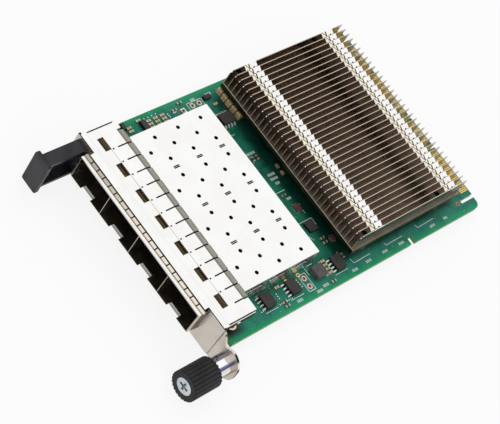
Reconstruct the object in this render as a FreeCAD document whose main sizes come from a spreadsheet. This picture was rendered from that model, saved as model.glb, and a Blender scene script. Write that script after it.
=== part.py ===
"""Small-form-factor network card with a four-port cage, a heatsink and a captive thumbscrew.

Millimetres. X runs across the card towards the thumbscrew, Y from the ports to the card edge, and Z up
from the component side. The origin is the middle of the card edge's end face, halfway up the board.
"""
import FreeCAD, Part
import Sketcher
import math
import operator
import os

doc = FreeCAD.newDocument("NetworkCard")
sheet = doc.addObject("Spreadsheet::Sheet", "Sizes")
sheet_rows = []


class Size:
    """A length worked out from the sheet: its formula, which a feature is bound to, and its value."""

    def __init__(self, formula, value):
        self.formula = formula
        self.value = value

    def __add__(self, other):
        return combined(self, "+", other, operator.add)

    def __radd__(self, other):
        return combined(other, "+", self, operator.add)

    def __sub__(self, other):
        return combined(self, "-", other, operator.sub)

    def __rsub__(self, other):
        return combined(other, "-", self, operator.sub)

    def __mul__(self, other):
        return combined(self, "*", other, operator.mul)

    def __rmul__(self, other):
        return combined(other, "*", self, operator.mul)

    def __truediv__(self, other):
        return combined(self, "/", other, operator.truediv)

    def __neg__(self):
        return combined(0, "-", self, operator.sub)

    def __float__(self):
        return float(self.value)


def as_size(item):
    """A plain number as a Size with itself for a formula."""
    if isinstance(item, Size):
        return item
    return Size("(%r)" % float(item), float(item))


def combined(left, sign, right, work):
    left = as_size(left)
    right = as_size(right)
    return Size("(%s %s %s)" % (left.formula, sign, right.formula), work(left.value, right.value))


def size(alias, number, meaning):
    """Writes one driving dimension to the sheet and returns it."""
    sheet_rows.append(alias)
    row = len(sheet_rows)
    sheet.set("A%d" % row, meaning)
    sheet.set("B%d" % row, str(number))
    sheet.setAlias("B%d" % row, alias)
    return Size("Sizes." + alias, number)


# Circuit board
board_width = size("board_width", 76.0, "board across")
board_length = size("board_length", 115.0, "board from front edge to card edge")
board_thickness = size("board_thickness", 1.57, "board thickness")
ear_width = size("ear_width", 3.55, "rear ear across")
slot_width = size("slot_width", 1.25, "slot beside the card edge")
slot_depth = size("slot_depth", 6.3, "slot depth from the rear")
ear_setback = size("ear_setback", 0.3, "rear ears end this far in front of the card edge")
rear_corner = size("rear_corner", 2.2, "corner radius of the rear ears")
notch_start = size("notch_start", 79.8, "side notch behind the front edge")
notch_length = size("notch_length", 2.3, "side notch along the board")
notch_depth = size("notch_depth", 2.35, "side notch into the board")
edge_margin = size("edge_margin", 1.7, "card edge's side to the outermost contact")
contact_gap = size("contact_gap", 0.2, "gap between contacts")
contact_length = size("contact_length", 3.6, "contact along the board")
contact_inset = size("contact_inset", 0.35, "contact's end from the card edge")
contact_thickness = size("contact_thickness", 0.05, "contact plating height")
key_width = size("key_width", 1.5, "key slot width")
key_margin = size("key_margin", 1.35, "key slot's side to the next contact")
key_depth = size("key_depth", 4.6, "key slot depth")

CONTACT_GROUPS = (14, 28, 14, 28)
tongue_width = board_width - ear_width * 2 - slot_width * 2
key_gap = key_width + key_margin * 2
contact_room = tongue_width - edge_margin * 2 - key_gap * (len(CONTACT_GROUPS) - 1)
contact_pitch = contact_room / sum(CONTACT_GROUPS)

# Port cage
cage_centre = size("cage_centre", -0.25, "cage middle from the board's middle")
cage_width = size("cage_width", 57.2, "cage across, outside")
cage_reach = size("cage_reach", 10.7, "cage front ahead of the board")
cage_length = size("cage_length", 50.0, "cage from front to rear")
cage_height = size("cage_height", 9.55, "cage top over the board")
cage_sheet = size("cage_sheet", 0.25, "cage sheet thickness")
divider_sheet = size("divider_sheet", 0.2, "divider thickness")
floor_height = size("floor_height", 0.45, "underside of the cage floor over the board")
floor_length = size("floor_length", 35.0, "cage floor from the front")
hole_radius = size("hole_radius", 0.68, "round hole in the cage top")
hole_spread = size("hole_spread", 4.0, "hole columns either side of a port's middle")
hole_pitch = size("hole_pitch", 9.37, "hole pitch along the cage")
hole_start = size("hole_start", 21.4, "first middle hole behind the cage front")
tab_slot_length = size("tab_slot_length", 2.2, "divider tab slot along the cage")
tab_slot_width = size("tab_slot_width", 0.9, "divider tab slot across")
tongue_latch = size("tongue_latch", 4.4, "latch tongue across")
latch_gap = size("latch_gap", 0.2, "notch round a latch lip, each side")
latch_setback = size("latch_setback", 1.3, "latch tongue's tip behind the cage front")
latch_drop = size("latch_drop", 0.35, "latch tongue's lip below the floor")
side_slot_height = size("side_slot_height", 1.3, "slot in the cage side")
side_slot_length = size("side_slot_length", 6.4, "slot in the cage side, along the cage")
side_slot_drop = size("side_slot_drop", 3.2, "slot's lower edge below the cage top")
side_slot_start = size("side_slot_start", 11.7, "first side slot behind the cage front")
connector_gap = size("connector_gap", 1.2, "gap beside a port connector")
connector_height = size("connector_height", 5.8, "port connector height")
connector_start = size("connector_start", 1.0, "port connector behind the floor's end")
connector_rear = size("connector_rear", 0.6, "gap behind a port connector")
mouth_margin = size("mouth_margin", 1.0, "connector's wall beside its slot")
mouth_height = size("mouth_height", 1.6, "connector slot height")
mouth_depth = size("mouth_depth", 6.0, "connector slot depth")
mouth_low = size("mouth_low", 2.2, "connector slot over the board")
port_width = (cage_width - cage_sheet * 2 - divider_sheet * 3) / 4
port_pitch = port_width + divider_sheet

# Spring collar round the cage front
collar_sheet = size("collar_sheet", 0.2, "collar sheet thickness")
collar_band = size("collar_band", 1.0, "plain band at the collar's front")
collar_depth = size("collar_depth", 3.3, "collar from front to finger ends")
collar_rise = size("collar_rise", 0.3, "finger crest over the band")
collar_slit = size("collar_slit", 0.4, "slit between collar fingers")
collar_fingers = size("collar_fingers", 20, "fingers across the top")

# Face bracket
bracket_sheet = size("bracket_sheet", 0.8, "bracket sheet thickness")
bracket_front = size("bracket_front", 6.8, "bracket's front face ahead of the board")
bracket_left = size("bracket_left", 36.0, "bracket's left end from the middle")
bracket_right = size("bracket_right", 35.8, "front plate's right end from the middle")
bracket_bottom = size("bracket_bottom", 3.5, "bracket's lower edge below the board's top")
flange_thickness = size("flange_thickness", 0.5, "top flange thickness")
flange_depth = size("flange_depth", 11.6, "top flange from the bracket's front face")
flange_gap = size("flange_gap", 0.2, "gap from the top flange to a side skirt")
cage_clearance = size("cage_clearance", 0.3, "gap from collar to bracket")
roof_clearance = size("roof_clearance", 0.2, "gap from cage top to flange")
lip_depth = size("lip_depth", 2.6, "folded lower lip")
lip_half = size("lip_half", 29.0, "folded lower lip's half width")
foot_gap = size("foot_gap", 2.3, "board foot from the cage's side")
foot_width = size("foot_width", 4.8, "board foot across")
foot_reach = size("foot_reach", 6.2, "board foot behind the board's front edge")
foot_screw = size("foot_screw", 3.0, "foot screw behind the board's front edge")
foot_thread = size("foot_thread", 1.0, "foot screw radius")
foot_head = size("foot_head", 1.8, "foot screw head radius")
foot_head_height = size("foot_head_height", 1.2, "foot screw head height")
ear_step = size("ear_step", 0.4, "ear set back from the front plate")
ear_reach = size("ear_reach", 4.55, "ear past the thumbscrew's axis")
ear_drop = size("ear_drop", 5.3, "ear below the thumbscrew's axis")
ear_corner = size("ear_corner_radius", 3.8, "ear's lower corner radius")
ear_crown = size("ear_crown", 5.1, "ear's upper corner radius")
ear_rise = size("ear_rise", 5.95, "ear above the thumbscrew's axis")
ear_neck = size("ear_neck", 2.95, "notch between the ear and the plate from the axis")

# Finger strip over the top flange
strip_sheet = size("strip_sheet", 0.2, "finger strip sheet thickness")
strip_width = size("strip_width", 70.4, "finger strip across")
finger_count = size("finger_count", 13, "bent fingers")
left_blank = size("left_blank", 3.3, "strip's left end to the first finger")
right_blank = size("right_blank", 5.1, "last finger to the strip's right end")
finger_slit = size("finger_slit", 0.45, "slit between fingers")
slit_length = size("slit_length", 3.4, "slit in front of the bend")
bend_start = size("bend_start", 5.0, "finger bend behind the board's front edge")
bend_reach = size("bend_reach", 2.6, "bent finger end along the card")
blank_reach = size("blank_reach", 1.6, "flat end pieces past the bend")
window_gap = size("window_gap", 0.16, "a finger's width less a window's")
window_depth = size("window_depth", 2.2, "window along the card")
window_front = size("window_front", 3.0, "window's front edge ahead of the board")
roll_inset = size("roll_inset", 0.6, "rolled lip's end from the cage's side")
roll_start = size("roll_start", 5.4, "rolled lip's rear edge ahead of the board")
roll_reach = size("roll_reach", 7.95, "rolled lip's front edge ahead of the board")
roll_drop = size("roll_drop", 0.35, "rolled lip's front edge below the strip's top")
roll_radius = size("roll_radius", 2.2, "rolled lip's radius")
skirt_drop = size("skirt_drop", 2.3, "side skirt below the strip")
skirt_slit = size("skirt_slit", 0.45, "slit between the strip and a skirt")
skirt_root = size("skirt_root", 4.5, "skirt's slit starts ahead of the board")
dimple_radius = size("dimple_radius", 0.6, "dimple in a side skirt")

# Pull tab
tab_overhang = size("tab_overhang", 1.3, "grip plate past the arm on the left")
tab_width = size("tab_width", 6.5, "grip plate across")
tab_bottom = size("tab_bottom", 3.6, "grip plate below the board's top")
tab_height = size("tab_height", 13.5, "grip plate height")
tab_plate = size("tab_plate", 1.1, "grip plate thickness")
tab_reach = size("tab_reach", 22.2, "grip plate's face ahead of the board")
tab_corner = size("tab_corner", 0.8, "grip plate corner radius")
arm_width = size("arm_width", 4.3, "arm across")
arm_bottom = size("arm_bottom", 2.7, "arm's underside below the board's top")
arm_height = size("arm_height", 11.7, "arm height")
arm_wall = size("arm_wall", 1.1, "arm wall")
rivet_side = size("rivet_side", 2.95, "rivet from the cage's side")
rivet_margin = size("rivet_margin", 1.9, "rivet from the arm's wall")
rivet_radius = size("rivet_radius", 1.0, "rivet shank radius")
rivet_head_height = size("rivet_head_height", 0.8, "rivet head height")
rivet_tail_height = size("rivet_tail_height", 0.6, "rivet tail height")
rivet_head = size("rivet_head", 1.6, "rivet head radius")
rivet_height = size("rivet_height", 3.0, "rivet over the board's top")

# Thumbscrew
screw_side = size("screw_side", 5.95, "thumbscrew from the front plate's right end")
screw_x = bracket_right + screw_side
screw_height = size("screw_height", 0.7, "thumbscrew over the board's top")
knob_radius = size("knob_radius", 4.8, "knob radius")
knob_length = size("knob_length", 10.4, "knob length")
knob_reach = size("knob_reach", 22.6, "knob's face ahead of the board")
knob_floor = size("knob_floor", 2.9, "knob's solid front")
ridge_count = size("ridge_count", 24, "ridges round the knob")
groove_depth = size("groove_depth", 0.36, "groove between ridges")
groove_share = size("groove_share", 0.62, "groove's share of a ridge pitch")
sleeve_radius = size("sleeve_radius", 3.3, "sleeve radius")
sleeve_reach = size("sleeve_reach", 14.2, "sleeve's front end ahead of the board")
sleeve_bore = size("sleeve_bore", 2.35, "sleeve bore radius")
sleeve_neck = size("sleeve_neck", 2.5, "sleeve neck in the ear")
sleeve_shoulder = size("sleeve_shoulder", 1.0, "sleeve shoulder ahead of the ear")
swage_radius = size("swage_radius", 3.1, "swaged end's radius")
swage_length = size("swage_length", 0.5, "swaged end's length")
running_gap = size("running_gap", 0.08, "running clearance on the radius")
head_radius = size("head_radius", 2.76, "screw head radius")
head_length = size("head_length", 1.9, "screw head length")
shank_radius = size("shank_radius", 1.5, "screw shank and thread radius")
neck_radius = size("neck_radius", 1.15, "screw neck radius")
neck_front = size("neck_front", 18.5, "neck's front end ahead of the board")
thread_length = size("thread_length", 2.5, "threaded end's length")
recess_depth = size("recess_depth", 1.3, "cross recess depth")
recess_span = size("recess_span", 3.2, "cross recess across")
recess_width = size("recess_width", 0.8, "cross recess arm width")
washer_thickness = size("washer_thickness", 0.4, "spring washer thickness")
spring_wire = size("spring_wire", 0.4, "spring wire, square")
spring_radius = size("spring_radius", 2.05, "spring's mean radius")
spring_turns = size("spring_turns", 5, "spring turns")

# Heatsink
sink_left_margin = size("sink_left_margin", 2.8, "board's left side to the base plate")
sink_right_margin = size("sink_right_margin", 5.9, "board's right side to the base plate")
sink_front = size("sink_front", 54.0, "base plate behind the board's front edge")
sink_length = size("sink_length", 51.5, "base plate along the card")
base_underside = size("base_underside", 2.95, "base plate's underside over the board")
base_thickness = size("base_thickness", 2.15, "base plate thickness")
boss_radius = size("boss_radius", 1.9, "screw boss radius")
boss_side = size("boss_side", 2.1, "screw boss from the base plate's side")
boss_front = size("boss_front", 8.2, "screw boss from the base plate's ends")
sink_thread = size("sink_thread", 1.0, "heatsink screw radius")
screw_gap = size("screw_gap", 0.1, "clearance round the screws in the board")
sink_head = size("sink_head", 1.8, "heatsink screw head radius")
sink_head_height = size("sink_head_height", 0.9, "heatsink screw head height")
fin_count = size("fin_count", 34, "fins")
fin_sheet = size("fin_sheet", 0.25, "fin sheet thickness")
fin_top = size("fin_top", 11.3, "fin tops over the board")
fin_inset = size("fin_inset", 0.3, "first fin from the base plate's left side")
bare_strip = size("bare_strip", 1.0, "base plate past the last fin's face")
fin_front_chamfer = size("fin_front_chamfer", 1.1, "cut corner along the fin")
fin_drop_chamfer = size("fin_drop_chamfer", 1.6, "cut corner down the fin")
tab_row_front = size("tab_row_front", 5.7, "first tab row behind the fin front")
tab_row_pitch = size("tab_row_pitch", 35.5, "tab row pitch")
narrow_tab = size("narrow_tab", 1.6, "narrow tab along the fin")
tab_slit = size("tab_slit", 0.5, "slit between the tabs")
wide_tab = size("wide_tab", 3.0, "wide tab along the fin")
tab_point = size("tab_point", 0.7, "how far the tabs' points slant")
tab_gap = size("tab_gap", 0.08, "gap between a tab and the next fin")

# Chips and small parts
chip_width = size("chip_width", 21.0, "controller chip, square")
chip_height = size("chip_height", 2.6, "controller chip height")
chip_front = size("chip_front", 69.0, "controller chip behind the board's front edge")
eight_long = size("eight_long", 4.9, "eight-pin chip along its legs")
eight_wide = size("eight_wide", 3.9, "eight-pin chip between its legs")
eight_height = size("eight_height", 1.5, "eight-pin chip height")
eight_standoff = size("eight_standoff", 0.1, "gap under an eight-pin chip")
leg_pitch = size("leg_pitch", 1.27, "leg pitch")
leg_width = size("leg_width", 0.42, "leg width")
leg_reach = size("leg_reach", 1.05, "leg's reach from the chip")
leg_sheet = size("leg_sheet", 0.2, "leg thickness")
leg_root = size("leg_root", 0.85, "leg's root over the board")
block_width = size("block_width", 2.0, "block capacitor across")
block_length = size("block_length", 3.2, "block capacitor along the card")
block_height = size("block_height", 2.1, "block capacitor height")
small_length = size("small_length", 1.6, "small part length")
small_width = size("small_width", 0.8, "small part width")
small_height = size("small_height", 0.6, "small part height")
block_gap = size("block_gap", 0.45, "gap between block capacitors")
flat_chip = size("flat_chip", 3.6, "flat square chip")
flat_chip_height = size("flat_chip_height", 0.9, "flat square chip height")
diode_length = size("diode_length", 2.2, "corner diode length")
diode_width = size("diode_width", 1.2, "corner diode width")
diode_height = size("diode_height", 1.2, "corner diode height")
array_length = size("array_length", 3.7, "array part length")
array_width = size("array_width", 1.6, "array part width")
array_gap = size("array_gap", 0.2, "array part from the capacitor beside it")
array_height = size("array_height", 1.4, "array part height")
transistor_side = size("transistor_side", 3.5, "transistor from the board's left side")
transistor_width = size("transistor_width", 1.4, "transistor width")
transistor_length = size("transistor_length", 2.8, "transistor length")
transistor_gap = size("transistor_gap", 2.5, "transistor to the middle of the next capacitor")
transistor_height = size("transistor_height", 1.0, "transistor height")
coil_width = size("coil_width", 4.2, "power inductor, square")
coil_height = size("coil_height", 2.2, "power inductor height")
header_pitch = size("header_pitch", 2.9, "hole pair pitch")
header_hole = size("header_hole", 0.5, "hole pair radius")
via_radius = size("via_radius", 0.4, "ringed via radius")
rear_via = size("rear_via", 8.0, "rear via from the card edge")

top = board_thickness / 2
under = -(board_thickness / 2)
front = -board_length


def up(height):
    """Z of a height over the board's top face."""
    return top + height


def back(distance):
    """Y of a distance behind the board's front edge."""
    return front + distance


def bind(owner, path, item):
    """Binds a property to a size's formula."""
    owner.setExpression(path, as_size(item).formula)


def vector(across, along, height):
    return FreeCAD.Vector(float(across), float(along), float(height))


# How each origin plane's normal lies along the axis that it is offset on.
NORMAL = {"XY_Plane": 1, "XZ_Plane": -1, "YZ_Plane": 1}


def origin_feature(body, role):
    for feature in body.Origin.OriginFeatures:
        if feature.Role == role:
            return feature
    return None


def new_body(label):
    body = doc.addObject("PartDesign::Body", label)
    body.Label = label
    return body


def new_sketch(body, name, role, place):
    """A sketch on one of the body's origin planes, moved along that plane's axis to place."""
    flat = body.newObject("Sketcher::SketchObject", name)
    flat.AttachmentSupport = [(origin_feature(body, role), "")]
    flat.MapMode = "FlatFace"
    bind(flat, "AttachmentOffset.Base.z", place * NORMAL[role])
    return flat


def arc_between(start, end, radius):
    """The short arc between two points: a positive radius turns left on its way, a negative one right."""
    span = end - start
    half = span.Length / 2
    reach = math.sqrt(max(radius * radius - half * half, 0.0))
    left = FreeCAD.Vector(-span.y, span.x, 0).normalize()
    centre = (start + end) * 0.5 + left * (reach if radius > 0 else -reach)
    ends = (start, end) if radius > 0 else (end, start)
    angles = [math.atan2(end.y - centre.y, end.x - centre.x) for end in ends]
    circle = Part.Circle(centre, FreeCAD.Vector(0, 0, 1), abs(radius))
    if angles[1] < angles[0]:
        angles[1] += 2 * math.pi
    return Part.ArcOfCircle(circle, angles[0], angles[1])


class Drawing:
    """The lines and arcs of one sketch with what holds them, added to the sketch in one go."""

    def __init__(self):
        self.shapes = []
        self.rules = []
        self.formulas = []

    def hold(self, kind, places, item):
        """One constraint, bound to the item's formula where it has one."""
        if item is None:
            self.rules.append(Sketcher.Constraint(kind, *places))
            self.formulas.append(None)
        else:
            self.rules.append(Sketcher.Constraint(kind, *places, float(item)))
            self.formulas.append(as_size(item).formula)

    def hold_point(self, index, end, across, up_page):
        """Holds one end of a line or arc, or a circle's middle, at its place."""
        self.hold("DistanceX", (-1, 1, index, end), across)
        self.hold("DistanceY", (-1, 1, index, end), up_page)

    def outline(self, corners):
        """A closed outline through the corners, in order.

        A corner is (across, up), or (across, up, radius) where the stretch that ends at it is an arc.
        """
        spans = []
        for place, here in enumerate(corners):
            there = corners[(place + 1) % len(corners)]
            start = vector(here[0], here[1], 0)
            end = vector(there[0], there[1], 0)
            index = len(self.shapes)
            if len(there) == 3:
                radius = as_size(there[2])
                turns_left = radius.value > 0
                self.shapes.append(arc_between(start, end, radius.value))
                self.hold("Radius", (index,), radius if turns_left else -radius)
                spans.append((index, 1, 2) if turns_left else (index, 2, 1))
            else:
                self.shapes.append(Part.LineSegment(start, end))
                spans.append((index, 1, 2))
        for place, (index, first, last) in enumerate(spans):
            following = spans[(place + 1) % len(spans)]
            self.hold("Coincident", (index, last, following[0], following[1]), None)
            self.hold_point(index, first, corners[place][0], corners[place][1])

    def circle(self, across, up_page, radius):
        index = len(self.shapes)
        self.shapes.append(Part.Circle(vector(across, up_page, 0), FreeCAD.Vector(0, 0, 1), float(radius)))
        self.hold("Radius", (index,), radius)
        self.hold_point(index, 3, across, up_page)

    def lay_on(self, flat):
        flat.addGeometry(self.shapes, False)
        flat.addConstraint(self.rules)
        for number, formula in enumerate(self.formulas):
            if formula is not None:
                flat.setExpression("Constraints[%d]" % number, formula)


def box_corners(low_across, high_across, low_up, high_up):
    """The corners of an upright rectangle."""
    return [(low_across, low_up), (high_across, low_up), (high_across, high_up), (low_across, high_up)]


def many_sided(across, up_page, radius, sides=12):
    """The corners of a small round hole or peg, drawn with flat sides."""
    turns = [2 * math.pi * (place + 0.5) / sides for place in range(sides)]
    return [(across + radius * math.cos(turn), up_page + radius * math.sin(turn)) for turn in turns]


def slab(body, name, role, low, high, outlines=(), circles=(), cut=False):
    """Adds, or cuts, the space between two places on the plane's axis inside the drawn outlines."""
    starts_high = (NORMAL[role] < 0) != cut
    flat = new_sketch(body, name + "_sketch", role, high if starts_high else low)
    drawing = Drawing()
    for corners in outlines:
        drawing.outline(corners)
    for across, up_page, radius in circles:
        drawing.circle(across, up_page, radius)
    drawing.lay_on(flat)
    kind = "PartDesign::Pocket" if cut else "PartDesign::Pad"
    made = body.newObject(kind, name)
    made.Profile = flat
    bind(made, "Length", high - low)
    body.Tip = made
    return made


def cut_slab(body, name, role, low, high, outlines=(), circles=()):
    return slab(body, name, role, low, high, outlines, circles, cut=True)


def repeat(body, name, features, role, count, pitch, second=None):
    """Repeats features in a row, or in a grid where second gives (role, count, pitch) of the rows."""
    made = body.newObject("PartDesign::LinearPattern", name)
    made.Originals = features
    made.Direction = (origin_feature(body, role), [""])
    made.Mode = "Extent"
    bind(made, "Occurrences", count)
    bind(made, "Length", pitch * (count - 1))
    if second is not None:
        made.Direction2 = (origin_feature(body, second[0]), [""])
        made.Mode2 = "Extent"
        bind(made, "Occurrences2", second[1])
        bind(made, "Length2", second[2] * (second[1] - 1))
    body.Tip = made
    return made


def four_times(body, name, feature):
    """Repeats a feature made at the first heatsink boss at the other three."""
    return repeat(body, name, [feature], "X_Axis", 2, boss_columns[1] - boss_columns[0],
                  ("Y_Axis", 2, boss_rows[1] - boss_rows[0]))


def turned(label, corners):
    """A piece turned about the thumbscrew's axis from its (radius, Y) outline."""
    body = new_body(label)
    flat = new_sketch(body, label + "_sketch", "XY_Plane", as_size(0))
    drawing = Drawing()
    drawing.outline(corners)
    drawing.lay_on(flat)
    made = body.newObject("PartDesign::Revolution", label + "_turned")
    made.Profile = flat
    made.ReferenceAxis = (flat, ["V_Axis"])
    made.Angle = 360
    body.Tip = made
    at_screw(body)
    return body


def block(label, low, high):
    """A plain block between two opposite corners."""
    made = doc.addObject("Part::Box", label)
    made.Label = label
    for side, axis, start, end in zip(("Length", "Width", "Height"), "xyz", low, high):
        bind(made, side, end - start)
        bind(made, "Placement.Base." + axis, start)
    return made


def group(label, solids):
    """Like pieces as one group of separate solids."""
    made = doc.addObject("Part::Feature", label)
    made.Label = label
    made.Shape = Part.makeCompound(solids)
    return made


def box_at(centre_x, centre_y, low_z, length, width, height):
    """A block solid by its middle, its underside and its three sizes."""
    corner = vector(centre_x - length / 2, centre_y - width / 2, low_z)
    return Part.makeBox(float(length), float(width), float(height), corner)


def rod(centre_x, centre_y, low_z, radius, height, sides=12):
    """An upright round peg with flat sides."""
    points = [vector(x, y, low_z) for x, y in many_sided(centre_x, centre_y, radius, sides)]
    return flat_face(points).extrude(FreeCAD.Vector(0, 0, float(height)))


sink_left = sink_left_margin - board_width / 2
sink_right = board_width / 2 - sink_right_margin
sink_centre = (sink_left + sink_right) / 2
fin_pitch = (sink_right - sink_left - fin_inset - bare_strip) / (fin_count - 1)
boss_columns = (sink_left + boss_side, sink_right - boss_side)
boss_rows = (back(sink_front) + boss_front, back(sink_front) + sink_length - boss_front)
boss_places = [(x, y) for x in boss_columns for y in boss_rows]
cage_left = cage_centre - cage_width / 2
cage_right = cage_centre + cage_width / 2
foot_columns = (cage_left - foot_gap - foot_width / 2, cage_right + foot_gap + foot_width / 2)
foot_places = [(x, back(foot_screw)) for x in foot_columns]


def beside_right(distance):
    """X of a place on the board to the right of the cage."""
    return cage_right + distance


def beside_left(distance):
    """X of a place on the board to the left of the cage."""
    return cage_left - distance


def header_places():
    """Two hole pairs: one along the left side of the board, one across the right."""
    left = beside_left(5.05)
    right = beside_right(2.75)
    return [(left, back(42.6)), (left, back(42.6) + header_pitch),
            (right, back(36.2)), (right + header_pitch, back(36.2))]


def via_places():
    near = beside_right(0.95)
    return [(near, back(35.1)), (near, back(30.0)), (board_width / 2 - 4.1, -rear_via)]



def contact_groups():
    """Start of each contact group across the card edge, with the number of contacts in it."""
    place = edge_margin - tongue_width / 2
    found = []
    for count in CONTACT_GROUPS:
        found.append((place, count))
        place = place + contact_pitch * count + key_gap
    return found


def make_board():
    half = board_width / 2
    tongue = tongue_width / 2
    slot = tongue + slot_width
    rear = as_size(0)
    ear = rear - ear_setback
    corners = [(-half, front), (half, front)]
    corners += [(half, back(notch_start)), (half - notch_depth, back(notch_start))]
    corners += [(half - notch_depth, back(notch_start) + notch_length), (half, back(notch_start) + notch_length)]
    corners += [(half, ear - rear_corner), (half - rear_corner, ear, rear_corner), (slot, ear)]
    corners += [(slot, rear - slot_depth), (tongue, rear - slot_depth), (tongue, rear)]
    for place, count in reversed(contact_groups()[1:]):
        middle = place - key_gap / 2
        corners += [(middle + key_width / 2, rear), (middle + key_width / 2, rear - key_depth)]
        corners += [(middle - key_width / 2, rear - key_depth), (middle - key_width / 2, rear)]
    corners += [(-tongue, rear), (-tongue, rear - slot_depth), (-slot, rear - slot_depth), (-slot, ear)]
    corners += [(rear_corner - half, ear), (-half, ear - rear_corner, rear_corner)]
    body = new_body("circuit_board")
    slab(body, "board_blank", "XY_Plane", under, top, [corners])
    boss = cut_slab(body, "boss_hole", "XY_Plane", under, top,
                    [many_sided(boss_columns[0], boss_rows[0], sink_thread + screw_gap)])
    four_times(body, "boss_holes", boss)
    foot = cut_slab(body, "foot_hole", "XY_Plane", under, top,
                    [many_sided(foot_columns[0], back(foot_screw), foot_thread + screw_gap)])
    repeat(body, "foot_holes", [foot], "X_Axis", 2, foot_columns[1] - foot_columns[0])
    for place, (x, y) in enumerate(header_places() + via_places()):
        radius = header_hole if place < 4 else via_radius
        cut_slab(body, "small_hole_%d" % place, "XY_Plane", under, top, [many_sided(x, y, radius, 10)])


def make_contacts():
    """Plated contacts on both faces of the card edge."""
    solids = []
    middle_y = -contact_inset - contact_length / 2
    contact_width = contact_pitch - contact_gap
    for start, count in contact_groups():
        for place in range(count):
            middle_x = start + contact_pitch * (place + 0.5)
            for low in (top, under - contact_thickness):
                solids.append(box_at(middle_x, middle_y, low, contact_width, contact_length, contact_thickness))
    group("edge_contacts", solids)


cage_front = back(-cage_reach)
cage_rear = cage_front + cage_length
cage_top = up(cage_height)
port_centres = [cage_centre + port_pitch * (place - 1.5) for place in range(4)]
divider_centres = [cage_centre + port_pitch * (place - 1) for place in range(3)]


def make_cage_cover():
    """The cage's folded top, sides and back, with its holes and slots."""
    body = new_body("cage_cover")
    slab(body, "cover_block", "XY_Plane", top, cage_top,
         [box_corners(cage_left, cage_right, cage_front, cage_rear)])
    cut_slab(body, "cover_inside", "XY_Plane", top, cage_top - cage_sheet,
             [box_corners(cage_left + cage_sheet, cage_right - cage_sheet, cage_front, cage_rear - cage_sheet)])
    cut_slab(body, "cover_front_foot", "XY_Plane", top, up(floor_height),
             [box_corners(cage_left, cage_right, cage_front, back(0.5))])
    slots = []
    for place in range(4):
        start = cage_front + side_slot_start + hole_pitch * place
        low = cage_top - side_slot_drop
        slots.append(box_corners(start, start + side_slot_length, low, low + side_slot_height))
    cut_slab(body, "cover_side_slots", "YZ_Plane", cage_left, cage_right, slots)
    first = cage_front + hole_start
    holes = cut_slab(body, "cover_holes", "XY_Plane", cage_top - cage_sheet, cage_top, [
        many_sided(port_centres[0] - hole_spread, first + hole_pitch / 2, hole_radius, 8),
        many_sided(port_centres[0], first, hole_radius, 8),
        many_sided(port_centres[0] + hole_spread, first + hole_pitch / 2, hole_radius, 8)])
    repeat(body, "cover_hole_grid", [holes], "X_Axis", 4, port_pitch, ("Y_Axis", 3, hole_pitch))
    seat = first + hole_pitch / 2
    tabs = cut_slab(body, "cover_tab_slots", "XY_Plane", cage_top - cage_sheet, cage_top, [
        box_corners(divider_centres[0] - tab_slot_width / 2, divider_centres[0] + tab_slot_width / 2,
                    seat - tab_slot_length / 2, seat + tab_slot_length / 2)])
    repeat(body, "cover_tab_grid", [tabs], "X_Axis", 3, port_pitch, ("Y_Axis", 3, hole_pitch))


def make_cage_dividers():
    """Three walls between the ports, with tabs that stand in the cover's slots."""
    solids = []
    low = up(floor_height) + cage_sheet
    depth = cage_length - cage_sheet
    seat = cage_front + hole_start + hole_pitch / 2
    for middle in divider_centres:
        wall = box_at(middle, cage_front + depth / 2, low, divider_sheet, depth, cage_top - cage_sheet - low)
        for place in range(3):
            tab = box_at(middle, seat + hole_pitch * place, cage_top - cage_sheet, divider_sheet,
                         tab_slot_length - 0.3, cage_sheet)
            wall = wall.fuse(tab)
        solids.append(wall.removeSplitter())
    group("cage_dividers", solids)


def make_cage_floor():
    """The floor sheet under the ports, with a notch and a folded latch lip at the front of each."""
    body = new_body("cage_floor")
    low = up(floor_height)
    high = low + cage_sheet
    slab(body, "floor_sheet", "XY_Plane", low, high,
         [box_corners(cage_left + cage_sheet, cage_right - cage_sheet, cage_front, cage_front + floor_length)])
    middle = port_centres[0]
    half = tongue_latch / 2
    outer = half + latch_gap
    tip = cage_front + latch_setback
    notch = cut_slab(body, "latch_notch", "XY_Plane", low, high,
                     [box_corners(middle - outer, middle + outer, cage_front, tip)])
    repeat(body, "latch_notch_row", [notch], "X_Axis", 4, port_pitch)
    lip = slab(body, "latch_lip", "XY_Plane", low - latch_drop, low,
               [box_corners(middle - half, middle + half, tip, tip + cage_sheet)])
    repeat(body, "latch_lip_row", [lip], "X_Axis", 4, port_pitch)


def make_collar():
    """The spring collar round the cage's front: a plain band, then a row of crowned fingers."""
    body = new_body("cage_spring_collar")
    outer_left = cage_left - collar_sheet
    outer_right = cage_right + collar_sheet
    band = cage_front + collar_band
    end = cage_front + collar_depth
    crest = band + (end - band) / 2
    peak = cage_top + collar_sheet + collar_rise
    slab(body, "collar_sides", "XY_Plane", up(floor_height), cage_top,
         [box_corners(outer_left, cage_left, cage_front, band), box_corners(cage_right, outer_right, cage_front, band)])
    section = [(cage_front, cage_top), (band, cage_top), (crest, peak - collar_sheet), (end, cage_top),
               (end, cage_top + collar_sheet), (crest, peak), (band, cage_top + collar_sheet),
               (cage_front, cage_top + collar_sheet)]
    slab(body, "collar_top", "YZ_Plane", outer_left, outer_right, [section])
    pitch = cage_width / collar_fingers
    start = cage_left + pitch
    slit = cut_slab(body, "collar_slit", "XY_Plane", cage_top, peak,
                    [box_corners(start - collar_slit / 2, start + collar_slit / 2, band + 0.15, end)])
    repeat(body, "collar_slit_row", [slit], "X_Axis", collar_fingers - 1, pitch)


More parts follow.
